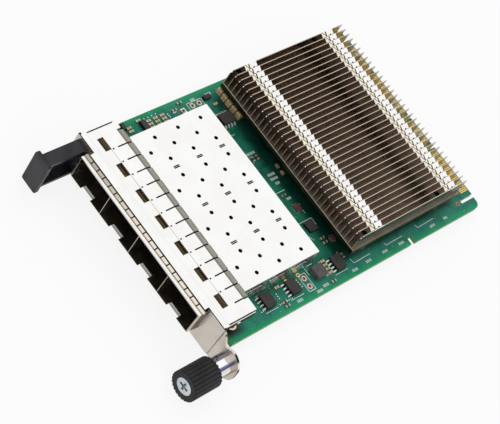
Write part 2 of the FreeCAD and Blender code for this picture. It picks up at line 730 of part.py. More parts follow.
def make_connectors():
    """The connector block inside each port, with its slot for a plug-in module's card edge."""
    solids = []
    start = cage_front + floor_length + connector_start
    depth = cage_rear - cage_sheet - start - connector_rear
    width = port_width - connector_gap * 2
    for middle in port_centres:
        shell = box_at(middle, start + depth / 2, top, width, depth, connector_height)
        mouth = box_at(middle, start + mouth_depth / 2, up(mouth_low), width - mouth_margin * 2, mouth_depth,
                       mouth_height)
        solids.append(shell.cut(mouth))
    group("port_connectors", solids)


last_slit = strip_width / 2 - right_blank
finger_pitch = (strip_width - left_blank - right_blank) / finger_count
window_length = finger_pitch - window_gap
flange_half = strip_width / 2 - flange_gap
roll_half = cage_width / 2 - roll_inset
bracket_face = back(-bracket_front)
plate_back = bracket_face + bracket_sheet
flange_low = up(cage_height) + roof_clearance
flange_top = flange_low + flange_thickness
bracket_low = up(-bracket_bottom)
rivet_x = cage_left - rivet_side
arm_left = rivet_x - rivet_margin - arm_wall
tab_left = arm_left - tab_overhang


def make_bracket():
    """Front plate, ear, top flange, board feet and lower lip, folded from one steel sheet."""
    body = new_body("face_bracket")
    slab(body, "front_plate", "XZ_Plane", bracket_face, plate_back,
         [box_corners(-bracket_left, bracket_right, bracket_low, flange_top)])
    gap = collar_sheet + cage_clearance
    cut_slab(body, "cage_window", "XZ_Plane", bracket_face, plate_back,
             [box_corners(cage_left - gap, cage_right + gap, up(floor_height) - 0.15, flange_low)])
    slab(body, "top_flange", "XY_Plane", flange_low, flange_top,
         [box_corners(-flange_half, flange_half, bracket_face, bracket_face + flange_depth)])
    windows = cut_slab(body, "flange_window", "XY_Plane", flange_low, flange_top, [window_corners(1)])
    repeat(body, "flange_window_row", [windows], "X_Axis", (finger_count + 1) / 2 - 2, finger_pitch * 2)
    root = bracket_right - 0.4
    centre = up(screw_height)
    slab(body, "ear", "XZ_Plane", bracket_face + ear_step, plate_back + ear_step, [[
        (root, bracket_low), (screw_x - ear_reach * 0.6, centre - ear_drop),
        (screw_x + ear_reach - ear_corner, centre - ear_drop),
        (screw_x + ear_reach, centre - ear_drop + ear_corner, ear_corner), (screw_x + ear_reach, centre + 1.0),
        (screw_x - 0.5, centre + ear_rise, ear_crown), (screw_x - ear_neck, centre + ear_rise - 1.3),
        (bracket_right + 0.7, flange_low - 1.0), (root, flange_low - 0.8)]])
    cut_slab(body, "ear_hole", "XZ_Plane", bracket_face, plate_back + ear_step,
             circles=[(screw_x, centre, sleeve_neck)])
    foot_low = under - bracket_sheet
    slab(body, "feet", "XY_Plane", foot_low, under, [
        box_corners(x - foot_width / 2, x + foot_width / 2, bracket_face, back(foot_reach)) for x in foot_columns])
    hole = cut_slab(body, "foot_hole", "XY_Plane", foot_low, under,
                    [many_sided(foot_columns[0], back(foot_screw), foot_thread)])
    repeat(body, "foot_holes", [hole], "X_Axis", 2, foot_columns[1] - foot_columns[0])
    slab(body, "lower_lip", "XY_Plane", bracket_low, bracket_low + bracket_sheet,
         [box_corners(-lip_half, lip_half, bracket_face, plate_back + lip_depth)])
    cut_slab(body, "rivet_hole", "XZ_Plane", bracket_face, plate_back,
             [many_sided(rivet_x, up(rivet_height), rivet_radius)])


def window_corners(place=0):
    """A window's outline, counted from the left: one window to every second finger."""
    middle = last_slit - finger_pitch * (finger_count - 0.5 - place * 2)
    low = back(-window_front)
    return box_corners(middle - window_length / 2, middle + window_length / 2, low, low + window_depth)


def make_strip():
    """The bright finger strip clipped over the top flange."""
    body = new_body("finger_strip")
    half = strip_width / 2
    low = flange_top
    high = low + strip_sheet
    drop = high - (cage_top + strip_sheet)
    bend = back(bend_start)
    end = bend + bend_reach
    flat_front = bracket_face + 0.2
    slab(body, "strip_section", "YZ_Plane", -half, half, [[
        (flat_front, low), (bend, low), (end, low - drop), (end, high - drop), (bend, high), (flat_front, high)]])
    first = last_slit - finger_pitch * finger_count
    cut_slab(body, "strip_blanks", "XY_Plane", low - drop, high, [
        box_corners(-half, first, bend, end), box_corners(last_slit, half, bend, end)])
    slab(body, "strip_ends", "XY_Plane", low, high, [
        box_corners(-half, first - finger_slit, bend, bend + blank_reach),
        box_corners(last_slit + finger_slit, half, bend, bend + blank_reach)])
    slit = cut_slab(body, "strip_slit", "XY_Plane", low - drop, high, [
        box_corners(first + finger_pitch - finger_slit / 2, first + finger_pitch + finger_slit / 2,
                    bend - slit_length, end)])
    repeat(body, "strip_slit_row", [slit], "X_Axis", finger_count, finger_pitch)
    dot = bend - slit_length - 2.0
    dots = cut_slab(body, "strip_dot", "XY_Plane", low, high, [
        box_corners(first + finger_pitch - finger_slit / 2, first + finger_pitch + finger_slit / 2, dot, dot + 0.6)])
    repeat(body, "strip_dot_row", [dots], "X_Axis", finger_count - 1, finger_pitch)
    windows = cut_slab(body, "strip_window", "XY_Plane", low, high, [window_corners()])
    repeat(body, "strip_window_row", [windows], "X_Axis", (finger_count + 1) / 2, finger_pitch * 2)
    rear = back(-roll_start)
    nose = back(-roll_reach)
    inner = roll_radius - strip_sheet
    slab(body, "rolled_lip", "YZ_Plane", cage_centre - roll_half, cage_centre + roll_half, [[
        (rear, low), (rear, high), (nose, high - roll_drop, roll_radius), (nose + 0.1, high - roll_drop - strip_sheet),
        (bracket_face, low, -inner)]])
    skirt = [box_corners(plate_back + 0.05, bend + 0.8, low - skirt_drop, high)]
    slab(body, "left_skirt", "YZ_Plane", -half - strip_sheet, -half, skirt)
    slab(body, "right_skirt", "YZ_Plane", half, half + strip_sheet, skirt)
    slit_start = back(-skirt_root)
    slit_end = bend + blank_reach
    cut_slab(body, "skirt_slits", "XY_Plane", low, high, [
        box_corners(-half, skirt_slit - half, slit_start, slit_end),
        box_corners(half - skirt_slit, half, slit_start, slit_end)])
    dimple = [(back(-0.4), low - skirt_drop / 2, dimple_radius)]
    slab(body, "right_dimple", "YZ_Plane", half + strip_sheet, half + strip_sheet * 2.5, circles=dimple)
    slab(body, "left_dimple", "YZ_Plane", -half - strip_sheet * 2.5, -half - strip_sheet, circles=dimple)


def make_pull_tab():
    """A moulded grip plate on a channel-shaped arm, riveted to the bracket's front."""
    body = new_body("pull_tab")
    low = up(-tab_bottom)
    high = low + tab_height
    right = tab_left + tab_width
    face = back(-tab_reach)
    plate_rear = face + tab_plate
    slab(body, "grip_plate", "XZ_Plane", face, plate_rear, [[
        (tab_left + tab_corner, low, tab_corner), (right - tab_corner, low), (right, low + tab_corner, tab_corner),
        (right, high - tab_corner), (right - tab_corner, high, tab_corner), (tab_left + tab_corner, high),
        (tab_left, high - tab_corner, tab_corner), (tab_left, low + tab_corner)]])
    arm_low = up(-arm_bottom)
    arm_high = arm_low + arm_height
    arm_right = arm_left + arm_width
    slab(body, "arm_channel", "XZ_Plane", plate_rear, bracket_face, [[
        (arm_left, arm_low), (arm_right, arm_low), (arm_right, arm_low + arm_wall),
        (arm_left + arm_wall, arm_low + arm_wall), (arm_left + arm_wall, arm_high - arm_wall),
        (arm_right, arm_high - arm_wall), (arm_right, arm_high), (arm_left, arm_high)]])
    slab(body, "arm_foot", "XZ_Plane", bracket_face - arm_wall, bracket_face,
         [box_corners(arm_left, arm_right + 0.4, arm_low, arm_high)])
    slab(body, "arm_web", "XZ_Plane", plate_rear + 2.6, plate_rear + 3.4,
         [box_corners(arm_left + arm_wall, arm_right - 0.9, arm_low + arm_wall, arm_high - arm_wall)])
    cut_slab(body, "tab_hole", "XZ_Plane", bracket_face - arm_wall, bracket_face,
             [many_sided(rivet_x, up(rivet_height), rivet_radius)])


def make_rivet():
    """The rivet that holds the pull tab's foot to the bracket."""
    seat = bracket_face - arm_wall
    tail = plate_back
    body = new_body("pull_tab_rivet")
    height = up(rivet_height)
    head = [many_sided(rivet_x, height, rivet_head)]
    slab(body, "rivet_shank", "XZ_Plane", seat, tail, [many_sided(rivet_x, height, rivet_radius)])
    slab(body, "rivet_front", "XZ_Plane", seat - rivet_head_height, seat, head)
    slab(body, "rivet_tail", "XZ_Plane", tail, tail + rivet_tail_height, head)


knob_face = back(-knob_reach)
knob_rear = knob_face + knob_length
knob_inside = knob_face + knob_floor
sleeve_rear = plate_back + ear_step + swage_length


def at_screw(body):
    """Sets a piece drawn round the origin onto the thumbscrew's axis."""
    bind(body, "Placement.Base.x", screw_x)
    bind(body, "Placement.Base.z", up(screw_height))


def make_knob():
    """The ridged knob: solid at the front round the screw's head, hollow behind to run on the sleeve."""
    none = as_size(0)
    seat = knob_face + 0.1 + head_length
    body = new_body("thumbscrew_knob")
    slab(body, "knob_blank", "XZ_Plane", knob_face, knob_rear, circles=[(none, none, knob_radius)])
    cut_slab(body, "sleeve_room", "XZ_Plane", knob_inside, knob_rear,
             [many_sided(none, none, (sleeve_radius + running_gap) * 1.01, 24)])
    cut_slab(body, "head_seat", "XZ_Plane", knob_face, seat, [many_sided(none, none, head_radius * 1.02, 20)])
    cut_slab(body, "shank_hole", "XZ_Plane", seat, knob_inside, [many_sided(none, none, shank_radius * 1.05)])
    step = 360.0 / ridge_count.value
    half = math.radians(step * groove_share.value / 2)
    outer = knob_radius + 0.2
    groove = cut_slab(body, "groove", "XZ_Plane", knob_face, knob_rear, [[
        (knob_radius - groove_depth, as_size(0)), (outer, outer * math.sin(half)), (outer, -outer * math.sin(half))]])
    ridges = body.newObject("PartDesign::PolarPattern", "ridges")
    ridges.Originals = [groove]
    ridges.Axis = (origin_feature(body, "Y_Axis"), [""])
    ridges.Angle = 360
    bind(ridges, "Occurrences", ridge_count)
    body.Tip = ridges
    at_screw(body)


def make_screw():
    """The screw fixed in the knob: cross-recess head, shank, thin neck and threaded end."""
    head = knob_face + 0.1
    seat = head + head_length
    neck = back(-neck_front)
    shoulder = sleeve_rear + 0.05
    tip = shoulder + thread_length
    none = as_size(0)
    body = turned("thumbscrew_screw", [
        (none, head), (head_radius, head), (head_radius, seat), (shank_radius, seat), (shank_radius, neck),
        (neck_radius, neck), (neck_radius, shoulder), (shank_radius, shoulder), (shank_radius, tip), (none, tip)])
    span = recess_span / 2
    arm = recess_width / 2
    cut_slab(body, "cross_recess", "XZ_Plane", head, head + recess_depth, [[
        (-span, -arm), (-arm, -arm), (-arm, -span), (arm, -span), (arm, -arm), (span, -arm),
        (span, arm), (arm, arm), (arm, span), (-arm, span), (-arm, arm), (-span, arm)]])


def make_sleeve():
    """The polished sleeve swaged into the ear, with a lip behind that the screw's neck runs in."""
    start = back(-sleeve_reach)
    ear_face = bracket_face + ear_step
    shoulder = ear_face - sleeve_shoulder
    ear_back = plate_back + ear_step
    turned("thumbscrew_sleeve", [
        (sleeve_bore, start), (sleeve_radius, start), (sleeve_radius, ear_face), (sleeve_neck, ear_face),
        (sleeve_neck, ear_back), (swage_radius, ear_back), (swage_radius, sleeve_rear),
        (neck_radius + running_gap, sleeve_rear), (neck_radius + running_gap, shoulder - 0.4),
        (sleeve_bore, shoulder - 0.4)])


def make_spring():
    """The coil spring between the washer and the sleeve's lip, wound from square wire."""
    start = knob_inside.value + 0.05 + washer_thickness.value
    end = (bracket_face + ear_step - sleeve_shoulder - 0.4).value
    wire = spring_wire.value
    steps = 8
    count = int(spring_turns.value * steps)
    rise = (end - start - wire) / count
    rings = []
    for place in range(count + 1):
        angle = 2 * math.pi * place / steps
        along = start + rise * place
        ring = []
        for radius, offset in ((-0.5, 0), (0.5, 0), (0.5, 1), (-0.5, 1)):
            reach = spring_radius.value + radius * wire
            ring.append(FreeCAD.Vector(reach * math.cos(angle), along + offset * wire, reach * math.sin(angle)))
        rings.append(ring)
    faces = [flat_face(rings[0]), flat_face(rings[-1])]
    for here, there in zip(rings, rings[1:]):
        for corner in range(4):
            following = (corner + 1) % 4
            faces.append(flat_face([here[corner], here[following], there[following]]))
            faces.append(flat_face([here[corner], there[following], there[corner]]))
    solid = Part.Solid(Part.Shell(faces))
    if solid.Volume < 0:
        solid.reverse()
    made = doc.addObject("Part::Feature", "thumbscrew_spring")
    made.Label = "thumbscrew_spring"
    made.Shape = solid
    bind(made, "Placement.Base.x", screw_x)
    bind(made, "Placement.Base.z", up(screw_height))


def flat_face(points):
    return Part.Face(Part.makePolygon(points + [points[0]]))


def make_washer():
    """The washer that the spring bears on inside the knob."""
    start = knob_inside + 0.05
    end = start + washer_thickness
    none = as_size(0)
    body = new_body("thumbscrew_washer")
    slab(body, "washer_disc", "XZ_Plane", start, end, [many_sided(none, none, sleeve_radius, 16)])
    cut_slab(body, "washer_hole", "XZ_Plane", start, end,
             [many_sided(none, none, (shank_radius + running_gap) * 1.03, 16)])
    at_screw(body)


base_low = up(base_underside)
base_top = base_low + base_thickness
sink_face = back(sink_front)


def make_heatsink_base():
    """The base plate on its four screw bosses."""
    body = new_body("heatsink_base")
    slab(body, "base_plate", "XY_Plane", base_low, base_top,
         [box_corners(sink_left, sink_right, sink_face, sink_face + sink_length)])
    first = (boss_columns[0], boss_rows[0])
    boss = slab(body, "boss", "XY_Plane", top, base_low, [many_sided(first[0], first[1], boss_radius)])
    four_times(body, "bosses", boss)
    thread = cut_slab(body, "boss_thread", "XY_Plane", top, base_top,
                      [many_sided(first[0], first[1], sink_thread)])
    four_times(body, "boss_threads", thread)


def make_fin(label, with_folds):
    """One fin, standing at X = 0: its wall and the tabs that hook over to the next fin."""
    body = new_body(label)
    rear = sink_face + sink_length - 0.2
    high = up(fin_top)
    slab(body, label + "_wall", "YZ_Plane", as_size(0), fin_sheet, [[
        (sink_face, base_top), (rear, base_top), (rear, high), (sink_face + fin_front_chamfer, high),
        (sink_face, high - fin_drop_chamfer)]])
    if not with_folds:
        return body
    reach = fin_pitch - tab_gap
    start = sink_face + tab_row_front
    narrow_end = start + narrow_tab
    wide = narrow_end + tab_slit
    wide_end = wide + wide_tab
    tabs = slab(body, label + "_tabs", "XY_Plane", high - fin_sheet, high, [
        [(fin_sheet, start), (reach, start - tab_point), (reach, narrow_end - tab_point), (fin_sheet, narrow_end)],
        [(fin_sheet, wide), (reach, wide - tab_point), (reach, wide_end - tab_point), (fin_sheet, wide_end)]])
    repeat(body, label + "_tab_rows", [tabs], "Y_Axis", 2, tab_row_pitch)
    return body


def make_fins():
    """The stack: one folded fin repeated, closed by a plain one."""
    folded = make_fin("folded_fin", True)
    plain = make_fin("plain_fin", False)
    doc.recompute()
    start = (sink_left + fin_inset).value
    count = int(fin_count.value)
    solids = []
    for place in range(count):
        master = folded if place < count - 1 else plain
        solid = master.Shape.Solids[0].copy()
        solid.translate(FreeCAD.Vector(start + place * fin_pitch.value, 0, 0))
        solids.append(solid)
    group("heatsink_fins", solids)


def make_heatsink_screws():
    """Four screws up through the board into the base plate's bosses."""
    solids = []
    for x, y in boss_places:
        head = rod(x, y, under - sink_head_height, sink_head, sink_head_height)
        shank = rod(x, y, under, sink_thread, base_low + 0.4 - under)
        solids.append(head.fuse(shank))
    group("heatsink_screws", solids)


def make_bracket_screws():
    """Two screws down through the board into the bracket's feet."""
    solids = []
    for x, y in foot_places:
        head = rod(x, y, top, foot_head, foot_head_height)
        shank = rod(x, y, under - bracket_sheet, foot_thread, board_thickness + bracket_sheet)
        solids.append(head.fuse(shank))
    group("bracket_screws", solids)


def make_controller():
    """The controller chip under the heatsink, and the pad between them."""
    left = sink_centre - chip_width / 2
    right = left + chip_width
    near = back(chip_front)
    far = near + chip_width
    block("controller_chip", (left, near, top), (right, far, up(chip_height)))
    block("thermal_pad", (left, near, up(chip_height)), (right, far, base_low))


def left_lane(share):
    """X between the cage's left side (0) and the board's left side (1)."""
    return cage_left - (cage_left + board_width / 2) * share


def right_lane(share):
    """X between the cage's right side (0) and the board's right side (1)."""
    return cage_right + (board_width / 2 - cage_right) * share


def turned_about(solid, x, y, along_y):
    if along_y:
        solid.rotate(vector(x, y, 0), FreeCAD.Vector(0, 0, 1), 90)
    return solid


def make_eight_pin_chips():
    bodies = []
    legs = []
    profile = [(0, leg_root), (leg_reach * 0.4, leg_root), (leg_reach, leg_sheet), (leg_reach, 0),
               (leg_reach * 0.4, 0), (0, leg_root - leg_sheet)]
    places = [(beside_right(3.35), back(19.2), True), (beside_right(3.45), back(30.0), True),
              (beside_right(3.55), cage_rear + 10.5, True), (board_width * -0.3316, cage_rear + 10.3, False)]
    for x, y, along_y in places:
        low = up(eight_standoff)
        bodies.append(turned_about(box_at(x, y, low, eight_wide, eight_long, eight_height), x, y, along_y))
        for side in (1, -1):
            for place in range(4):
                middle = y + leg_pitch * (place - 1.5)
                points = [vector(x + side * (eight_wide / 2 + out), middle - leg_width / 2, up(height))
                          for out, height in profile]
                leg = flat_face(points).extrude(FreeCAD.Vector(0, leg_width.value, 0))
                legs.append(turned_about(leg, x, y, along_y))
    group("eight_pin_chips", bodies)
    group("chip_legs", legs)


def make_block_capacitors():
    """Tan block capacitors in a row under the heatsink's front edge."""
    solids = []
    for place in range(5):
        middle = sink_left + block_width / 2 + (block_width + block_gap) * place
        solids.append(box_at(middle, back(sink_front) + 1.2, top, block_width, block_length, block_height))
    group("block_capacitors", solids)


def small_parts(label, places):
    """Small blocks at (X, Y, whether the part lies along Y)."""
    solids = []
    for x, y, along_y in places:
        solids.append(turned_about(box_at(x, y, top, small_length, small_width, small_height), x, y, along_y))
    group(label, solids)


def make_tan_capacitors():
    """Small capacitors: an array beside the cage on the left, and singles round the board."""
    places = [(left_lane(share), back(distance), True) for share in (0.38, 0.52, 0.66)
              for distance in (24.6, 27.4, 30.2)]
    places += [(left_lane(share), back(16.9), True) for share in (0.55, 0.69)]
    places += [(left_lane(0.81), back(21.4), True), (beside_right(1.25), back(25.4), True)]
    places += [(right_lane(share), cage_rear + 6.4, True) for share in (0.09, 0.235, 0.38, 0.525)]
    places += [(as_size(-4.2), sink_face + 0.9, False), (as_size(-1.6), sink_face + 0.9, False)]
    beyond_transistor = transistor_side + transistor_width / 2 + transistor_gap - board_width / 2
    places += [(as_size(10.0), cage_rear + 12.3, True), (beyond_transistor, cage_rear + 10.9, True)]
    small_parts("tan_capacitors", places)


def make_dark_resistors():
    places = [(left_lane(0.65), back(35.4), True), (left_lane(0.5), back(38.0), True),
              (left_lane(0.32), back(35.4), True), (left_lane(0.82), back(38.6), True)]
    places += [(as_size(-9.6), cage_rear + 11.1, False), (as_size(-9.6), cage_rear + 9.3, False)]
    places += [(as_size(5.2), cage_rear + 10.3, True), (beside_right(2.25), sink_face - 0.3, False)]
    places += [(right_lane(0.65), back(24.6), True), (right_lane(0.8), back(24.6), True)]
    places += [(right_lane(0.82), cage_rear + 5.4, True)]
    places += [(as_size(across), cage_rear + 12.1, True) for across in (22.8, 24.4)]
    small_parts("dark_resistors", places)


def block_on_board(label, middle_x, middle_y, length, width, height):
    """A single block part on the board by its middle and its sizes."""
    low = (middle_x - length / 2, middle_y - width / 2, top)
    block(label, low, (middle_x + length / 2, middle_y + width / 2, top + height))


def make_single_parts():
    """The flat chip, the inductor and the black parts on the left."""
    array_middle = left_lane(0.81) + (small_width + array_length) / 2 + array_gap
    block_on_board("flat_chip", as_size(17.9), cage_rear + 11.3, flat_chip, flat_chip, flat_chip_height)
    block_on_board("power_inductor", beside_right(3.3), cage_rear + 2.1, coil_width, coil_width, coil_height)
    block_on_board("corner_diode", left_lane(0.8), back(15.2), diode_length, diode_width, diode_height)
    block_on_board("array_part", array_middle, back(22.0), array_length, array_width, array_height)
    block_on_board("transistor", transistor_side - board_width / 2, cage_rear + 9.7, transistor_width,
                   transistor_length, transistor_height)


make_board()
make_contacts()
make_cage_cover()
make_cage_dividers()
make_cage_floor()
make_collar()
make_connectors()
make_bracket()
make_strip()
make_pull_tab()
make_rivet()
make_knob()
make_screw()
make_sleeve()
make_spring()
make_washer()
make_heatsink_base()
make_fins()
make_heatsink_screws()
make_bracket_screws()
make_controller()
make_eight_pin_chips()
make_block_capacitors()
make_tan_capacitors()
make_dark_resistors()
make_single_parts()

NODES = (
    "circuit_board", "edge_contacts", "cage_cover", "cage_dividers", "cage_floor", "cage_spring_collar",
    "port_connectors", "face_bracket", "finger_strip", "pull_tab", "pull_tab_rivet", "thumbscrew_knob",
    "thumbscrew_screw", "thumbscrew_sleeve", "thumbscrew_spring", "thumbscrew_washer", "heatsink_base",
    "heatsink_fins", "heatsink_screws", "bracket_screws", "controller_chip", "thermal_pad", "eight_pin_chips",
    "chip_legs", "block_capacitors", "tan_capacitors", "dark_resistors", "flat_chip", "power_inductor",
    "corner_diode", "array_part", "transistor")

doc.recompute()
for item in doc.Objects:
    if "Invalid" in item.State or "Error" in item.State:
        raise RuntimeError("%s did not build" % item.Label)

os.makedirs("parts", exist_ok=True)
for node in NODES:
    shape = doc.getObjectsByLabel(node)[0].Shape
    if shape.isNull() or not shape.isValid():
        raise RuntimeError("%s has no sound shape" % node)
    shape.exportStep("parts/%s.step" % node)
    print(node, len(shape.Solids), "solids", round(shape.Volume, 2), "mm3")
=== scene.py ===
"""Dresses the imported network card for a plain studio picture.

Lengths are in millimetres in the part's own frame: X across the card towards the thumbscrew, Y along it
towards its edge contacts, Z up from the middle of the board. They turn into metres where a mesh is made.
"""

import logging
import math
from dataclasses import dataclass, field
from enum import Enum
from typing import Any, Callable, Optional, Sequence, Union

import bmesh
import bpy
from mathutils import Matrix, Vector


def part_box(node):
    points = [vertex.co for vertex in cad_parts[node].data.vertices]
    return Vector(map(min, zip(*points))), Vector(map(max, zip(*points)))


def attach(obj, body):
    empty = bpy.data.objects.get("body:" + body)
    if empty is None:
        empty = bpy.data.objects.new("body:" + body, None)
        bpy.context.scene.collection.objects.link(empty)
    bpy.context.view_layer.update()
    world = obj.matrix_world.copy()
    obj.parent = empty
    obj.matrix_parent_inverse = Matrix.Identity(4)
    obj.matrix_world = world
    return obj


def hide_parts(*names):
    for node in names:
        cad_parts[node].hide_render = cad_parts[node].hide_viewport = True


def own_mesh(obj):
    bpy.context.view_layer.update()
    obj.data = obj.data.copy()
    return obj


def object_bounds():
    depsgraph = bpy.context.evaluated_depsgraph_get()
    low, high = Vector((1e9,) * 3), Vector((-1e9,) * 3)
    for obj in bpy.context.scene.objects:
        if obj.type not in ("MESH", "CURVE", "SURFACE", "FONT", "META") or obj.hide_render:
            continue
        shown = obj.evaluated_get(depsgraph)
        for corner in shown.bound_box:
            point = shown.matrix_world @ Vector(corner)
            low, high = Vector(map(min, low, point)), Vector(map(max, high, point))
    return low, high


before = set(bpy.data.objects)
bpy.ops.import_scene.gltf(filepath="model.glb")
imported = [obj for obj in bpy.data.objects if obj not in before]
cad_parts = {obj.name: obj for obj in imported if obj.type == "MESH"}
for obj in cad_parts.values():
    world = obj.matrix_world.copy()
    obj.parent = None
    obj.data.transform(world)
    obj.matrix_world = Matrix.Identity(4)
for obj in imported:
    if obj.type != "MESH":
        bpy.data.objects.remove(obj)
CAD_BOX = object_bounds()

LOG = logging.getLogger("network_card")

Colour = tuple[float, float, float]
Point = tuple[float, float, float]
Flat = tuple[float, float]
Stops = tuple[tuple[float, Colour], ...]

MM = 0.001
CARD_BODY = "root"
BOARD_TOP = 0.785
BOARD_FRONT = -115.0
SCREW_AXIS: Flat = (41.75, 1.485)
MARGIN = 0.05
FAR = 1e6
EVEN: Point = (1.0, 1.0, 1.0)


class Slot(Enum):
    """The record's material slots."""

    BOARD = "board_green"
    TIN = "leg_tin"
    RESIN = "chip_black"
    COPPER = "screw_copper"
    GOLD = "contact_gold"
    SPRING = "spring_nickel"
    STEEL = "steel_plain"


class Source(Enum):
    """Where a measure of the surface comes from."""

    PLACE = "point in the part's frame"
    NORMAL = "way that the surface faces"
    ANGLE = "angle about the thumbscrew"


class Gauge(Enum):
    """What is measured at a point of a surface: a source, its part, and whether the sign is dropped."""

    X = (Source.PLACE, 0, False)
    Y = (Source.PLACE, 1, False)
    Z = (Source.PLACE, 2, False)
    ASIDE = (Source.PLACE, 0, True)
    ROUND_SCREW = (Source.ANGLE, 0, False)
    FACING_X = (Source.NORMAL, 0, False)
    FACING_Y = (Source.NORMAL, 1, False)
    FACING_Z = (Source.NORMAL, 2, False)
    SQUARE_X = (Source.NORMAL, 0, True)
    SQUARE_Y = (Source.NORMAL, 1, True)
    SQUARE_Z = (Source.NORMAL, 2, True)


def along(distance: float) -> float:
    """Y of a place that far behind the board's front edge."""
    return BOARD_FRONT + distance


# Shader maths


def operator(operation: str, swapped: bool = False) -> Callable[..., "Channel"]:
    """Makes a method of Channel that adds one Math node.

    Args:
        operation: the node's operation.
        swapped: whether the other value comes first.
    Returns:
        The method.
    """
    def method(self: "Channel", other: "Value" = 0.0) -> "Channel":
        """The operation on this value and another."""
        first, second = (other, self) if swapped else (self, other)
        return self.bench.add("ShaderNodeMath", {"operation": operation}, {0: first, 1: second})
    return method


class Channel:
    """One output of a shader node, with its arithmetic written as operators.

    over and under are 1 where the value is over or under another, else 0; larger is the larger of the two.
    """

    def __init__(self, bench: "Bench", socket: bpy.types.NodeSocket) -> None:
        """Args: bench: the material's nodes. socket: the output that this stands for."""
        self.bench = bench
        self.socket = socket

    __add__ = operator("ADD")
    __radd__ = operator("ADD", swapped=True)
    __sub__ = operator("SUBTRACT")
    __rsub__ = operator("SUBTRACT", swapped=True)
    __mul__ = operator("MULTIPLY")
    __rmul__ = operator("MULTIPLY", swapped=True)
    __truediv__ = operator("DIVIDE")
    __rtruediv__ = operator("DIVIDE", swapped=True)
    __abs__ = operator("ABSOLUTE")
    over = operator("GREATER_THAN")
    under = operator("LESS_THAN")
    larger = operator("MAXIMUM")
    _fraction = operator("FRACT")
    _arctangent = operator("ARCTAN2")

    def between(self, low: float, high: float) -> "Channel":
        """1 where the value lies between two limits, else 0."""
        return self.over(low) * self.under(high)

    def near(self, middle: "Value", reach: float) -> "Channel":
        """1 where the value is within a reach of a middle, else 0."""
        return abs(self - middle).under(reach)

    def angle_from(self, across: "Channel") -> "Channel":
        """The angle in half turns of a point at (across, self), from -1 to 1."""
        return self._arctangent(across) / math.pi

    def turns(self, period: float) -> "Channel":
        """How far the value has gone through its present period, from 0 to 1."""
        return (self / period)._fraction()

    def rising(self, low: float, high: float) -> "Channel":
        """0 at low and 1 at high, eased between them; it falls where low is the larger."""
        return self.bench.add("ShaderNodeMapRange", {"interpolation_type": "SMOOTHSTEP"},
                              {0: self, 1: low, 2: high, 3: 0.0, 4: 1.0})


Value = Union[Channel, float]


class Bench:
    """The shader nodes of one material, added one at a time."""

    def __init__(self, name: str) -> None:
        """Args: name: the material's name."""
        self.material = bpy.data.materials.new(name)
        self.material.use_nodes = True
        self.tree = self.material.node_tree
        self.tree.nodes.clear()

    def add(self, kind: str, settings: Optional[dict[str, Any]] = None,
            inputs: Optional[dict[Union[int, str], Any]] = None,
            output: Union[int, str] = 0) -> Optional[Channel]:
        """Adds any node.

        Args:
            kind: the node's type.
            settings: its properties, set first; "stops" are a colour ramp's (place, colour) pairs.
            inputs: numbers, colours or Channels, by the socket's number or name.
            output: the number or name of the output to return.
        Returns:
            The chosen output, or None from a node that ends the tree.
        """
        node = self.tree.nodes.new(kind)
        for key, value in (settings or {}).items():
            if key == "stops":
                self._set_stops(node.color_ramp, value)
            else:
                setattr(node, key, value)
        for key, value in (inputs or {}).items():
            if isinstance(value, Channel):
                self.tree.links.new(value.socket, node.inputs[key])
            else:
                node.inputs[key].default_value = value
        return Channel(self, node.outputs[output]) if len(node.outputs) else None

    @staticmethod
    def _set_stops(ramp: bpy.types.ColorRamp, stops: Stops) -> None:
        """Gives a new colour ramp its stops.

        Args:
            ramp: the ramp.
            stops: the place and the colour of each.
        """
        while len(ramp.elements) < len(stops):
            ramp.elements.new(1.0)
        for element, (place, colour) in zip(ramp.elements, stops):
            element.position = place
            element.color = (*colour, 1.0)

    def place(self, stretch: Point = EVEN) -> Channel:
        """The surface point in millimetres, divided by a stretch along each axis."""
        scale = tuple(1.0 / (MM * part) for part in stretch)
        return self.add("ShaderNodeVectorMath", {"operation": "MULTIPLY"},
                        {0: self.add("ShaderNodeTexCoord", output="Object"), 1: scale})

    def part(self, vector: Channel, part: int) -> Channel:
        """One part of a vector, or red, green or blue of a colour."""
        return self.add("ShaderNodeSeparateXYZ", inputs={0: vector}, output=part)

    def gauge(self, gauge: Gauge) -> Channel:
        """Measures the surface.

        Args:
            gauge: what to measure.
        Returns:
            A place in millimetres, an angle in half turns, or the normal's share along an axis.
        """
        source, part, unsigned = gauge.value
        if source is Source.ANGLE:
            return (self.gauge(Gauge.Z) - SCREW_AXIS[1]).angle_from(self.gauge(Gauge.X) - SCREW_AXIS[0])
        facing = source is Source.NORMAL
        vector = self.add("ShaderNodeNewGeometry", output="Normal") if facing else self.place()
        value = self.part(vector, part)
        return abs(value) if unsigned else value

    def noise(self, grain: float, stretch: Point = EVEN, detail: float = 2.0) -> Channel:
        """Cloudy noise around 0.5 whose clouds are about a grain of millimetres across."""
        return self.add("ShaderNodeTexNoise", None,
                        {"Vector": self.place(stretch), "Scale": 1.0 / grain, "Detail": detail})

    def cells(self, size: float) -> Channel:
        """The distance from the middles of scattered cells about a size of millimetres across."""
        return self.add("ShaderNodeTexVoronoi", None, {"Vector": self.place(), "Scale": 1.0 / size})

    def blend(self, factor: Value, first: Union[Channel, Colour], second: Union[Channel, Colour],
              label: str = "") -> Channel:
        """Mixes two colours by the share of the second, in a node with a label."""
        pair = [colour if isinstance(colour, Channel) else (*colour, 1.0) for colour in (first, second)]
        return self.add("ShaderNodeMix", {"data_type": "RGBA", "label": label},
                        {0: factor, 6: pair[0], 7: pair[1]}, 2)

    def bump(self, height: Channel, depth: float) -> Channel:
        """A normal from a height that is worth a depth of millimetres at 1."""
        return self.add("ShaderNodeBump", None, {"Height": height, "Distance": depth * MM})


# Patches of colour


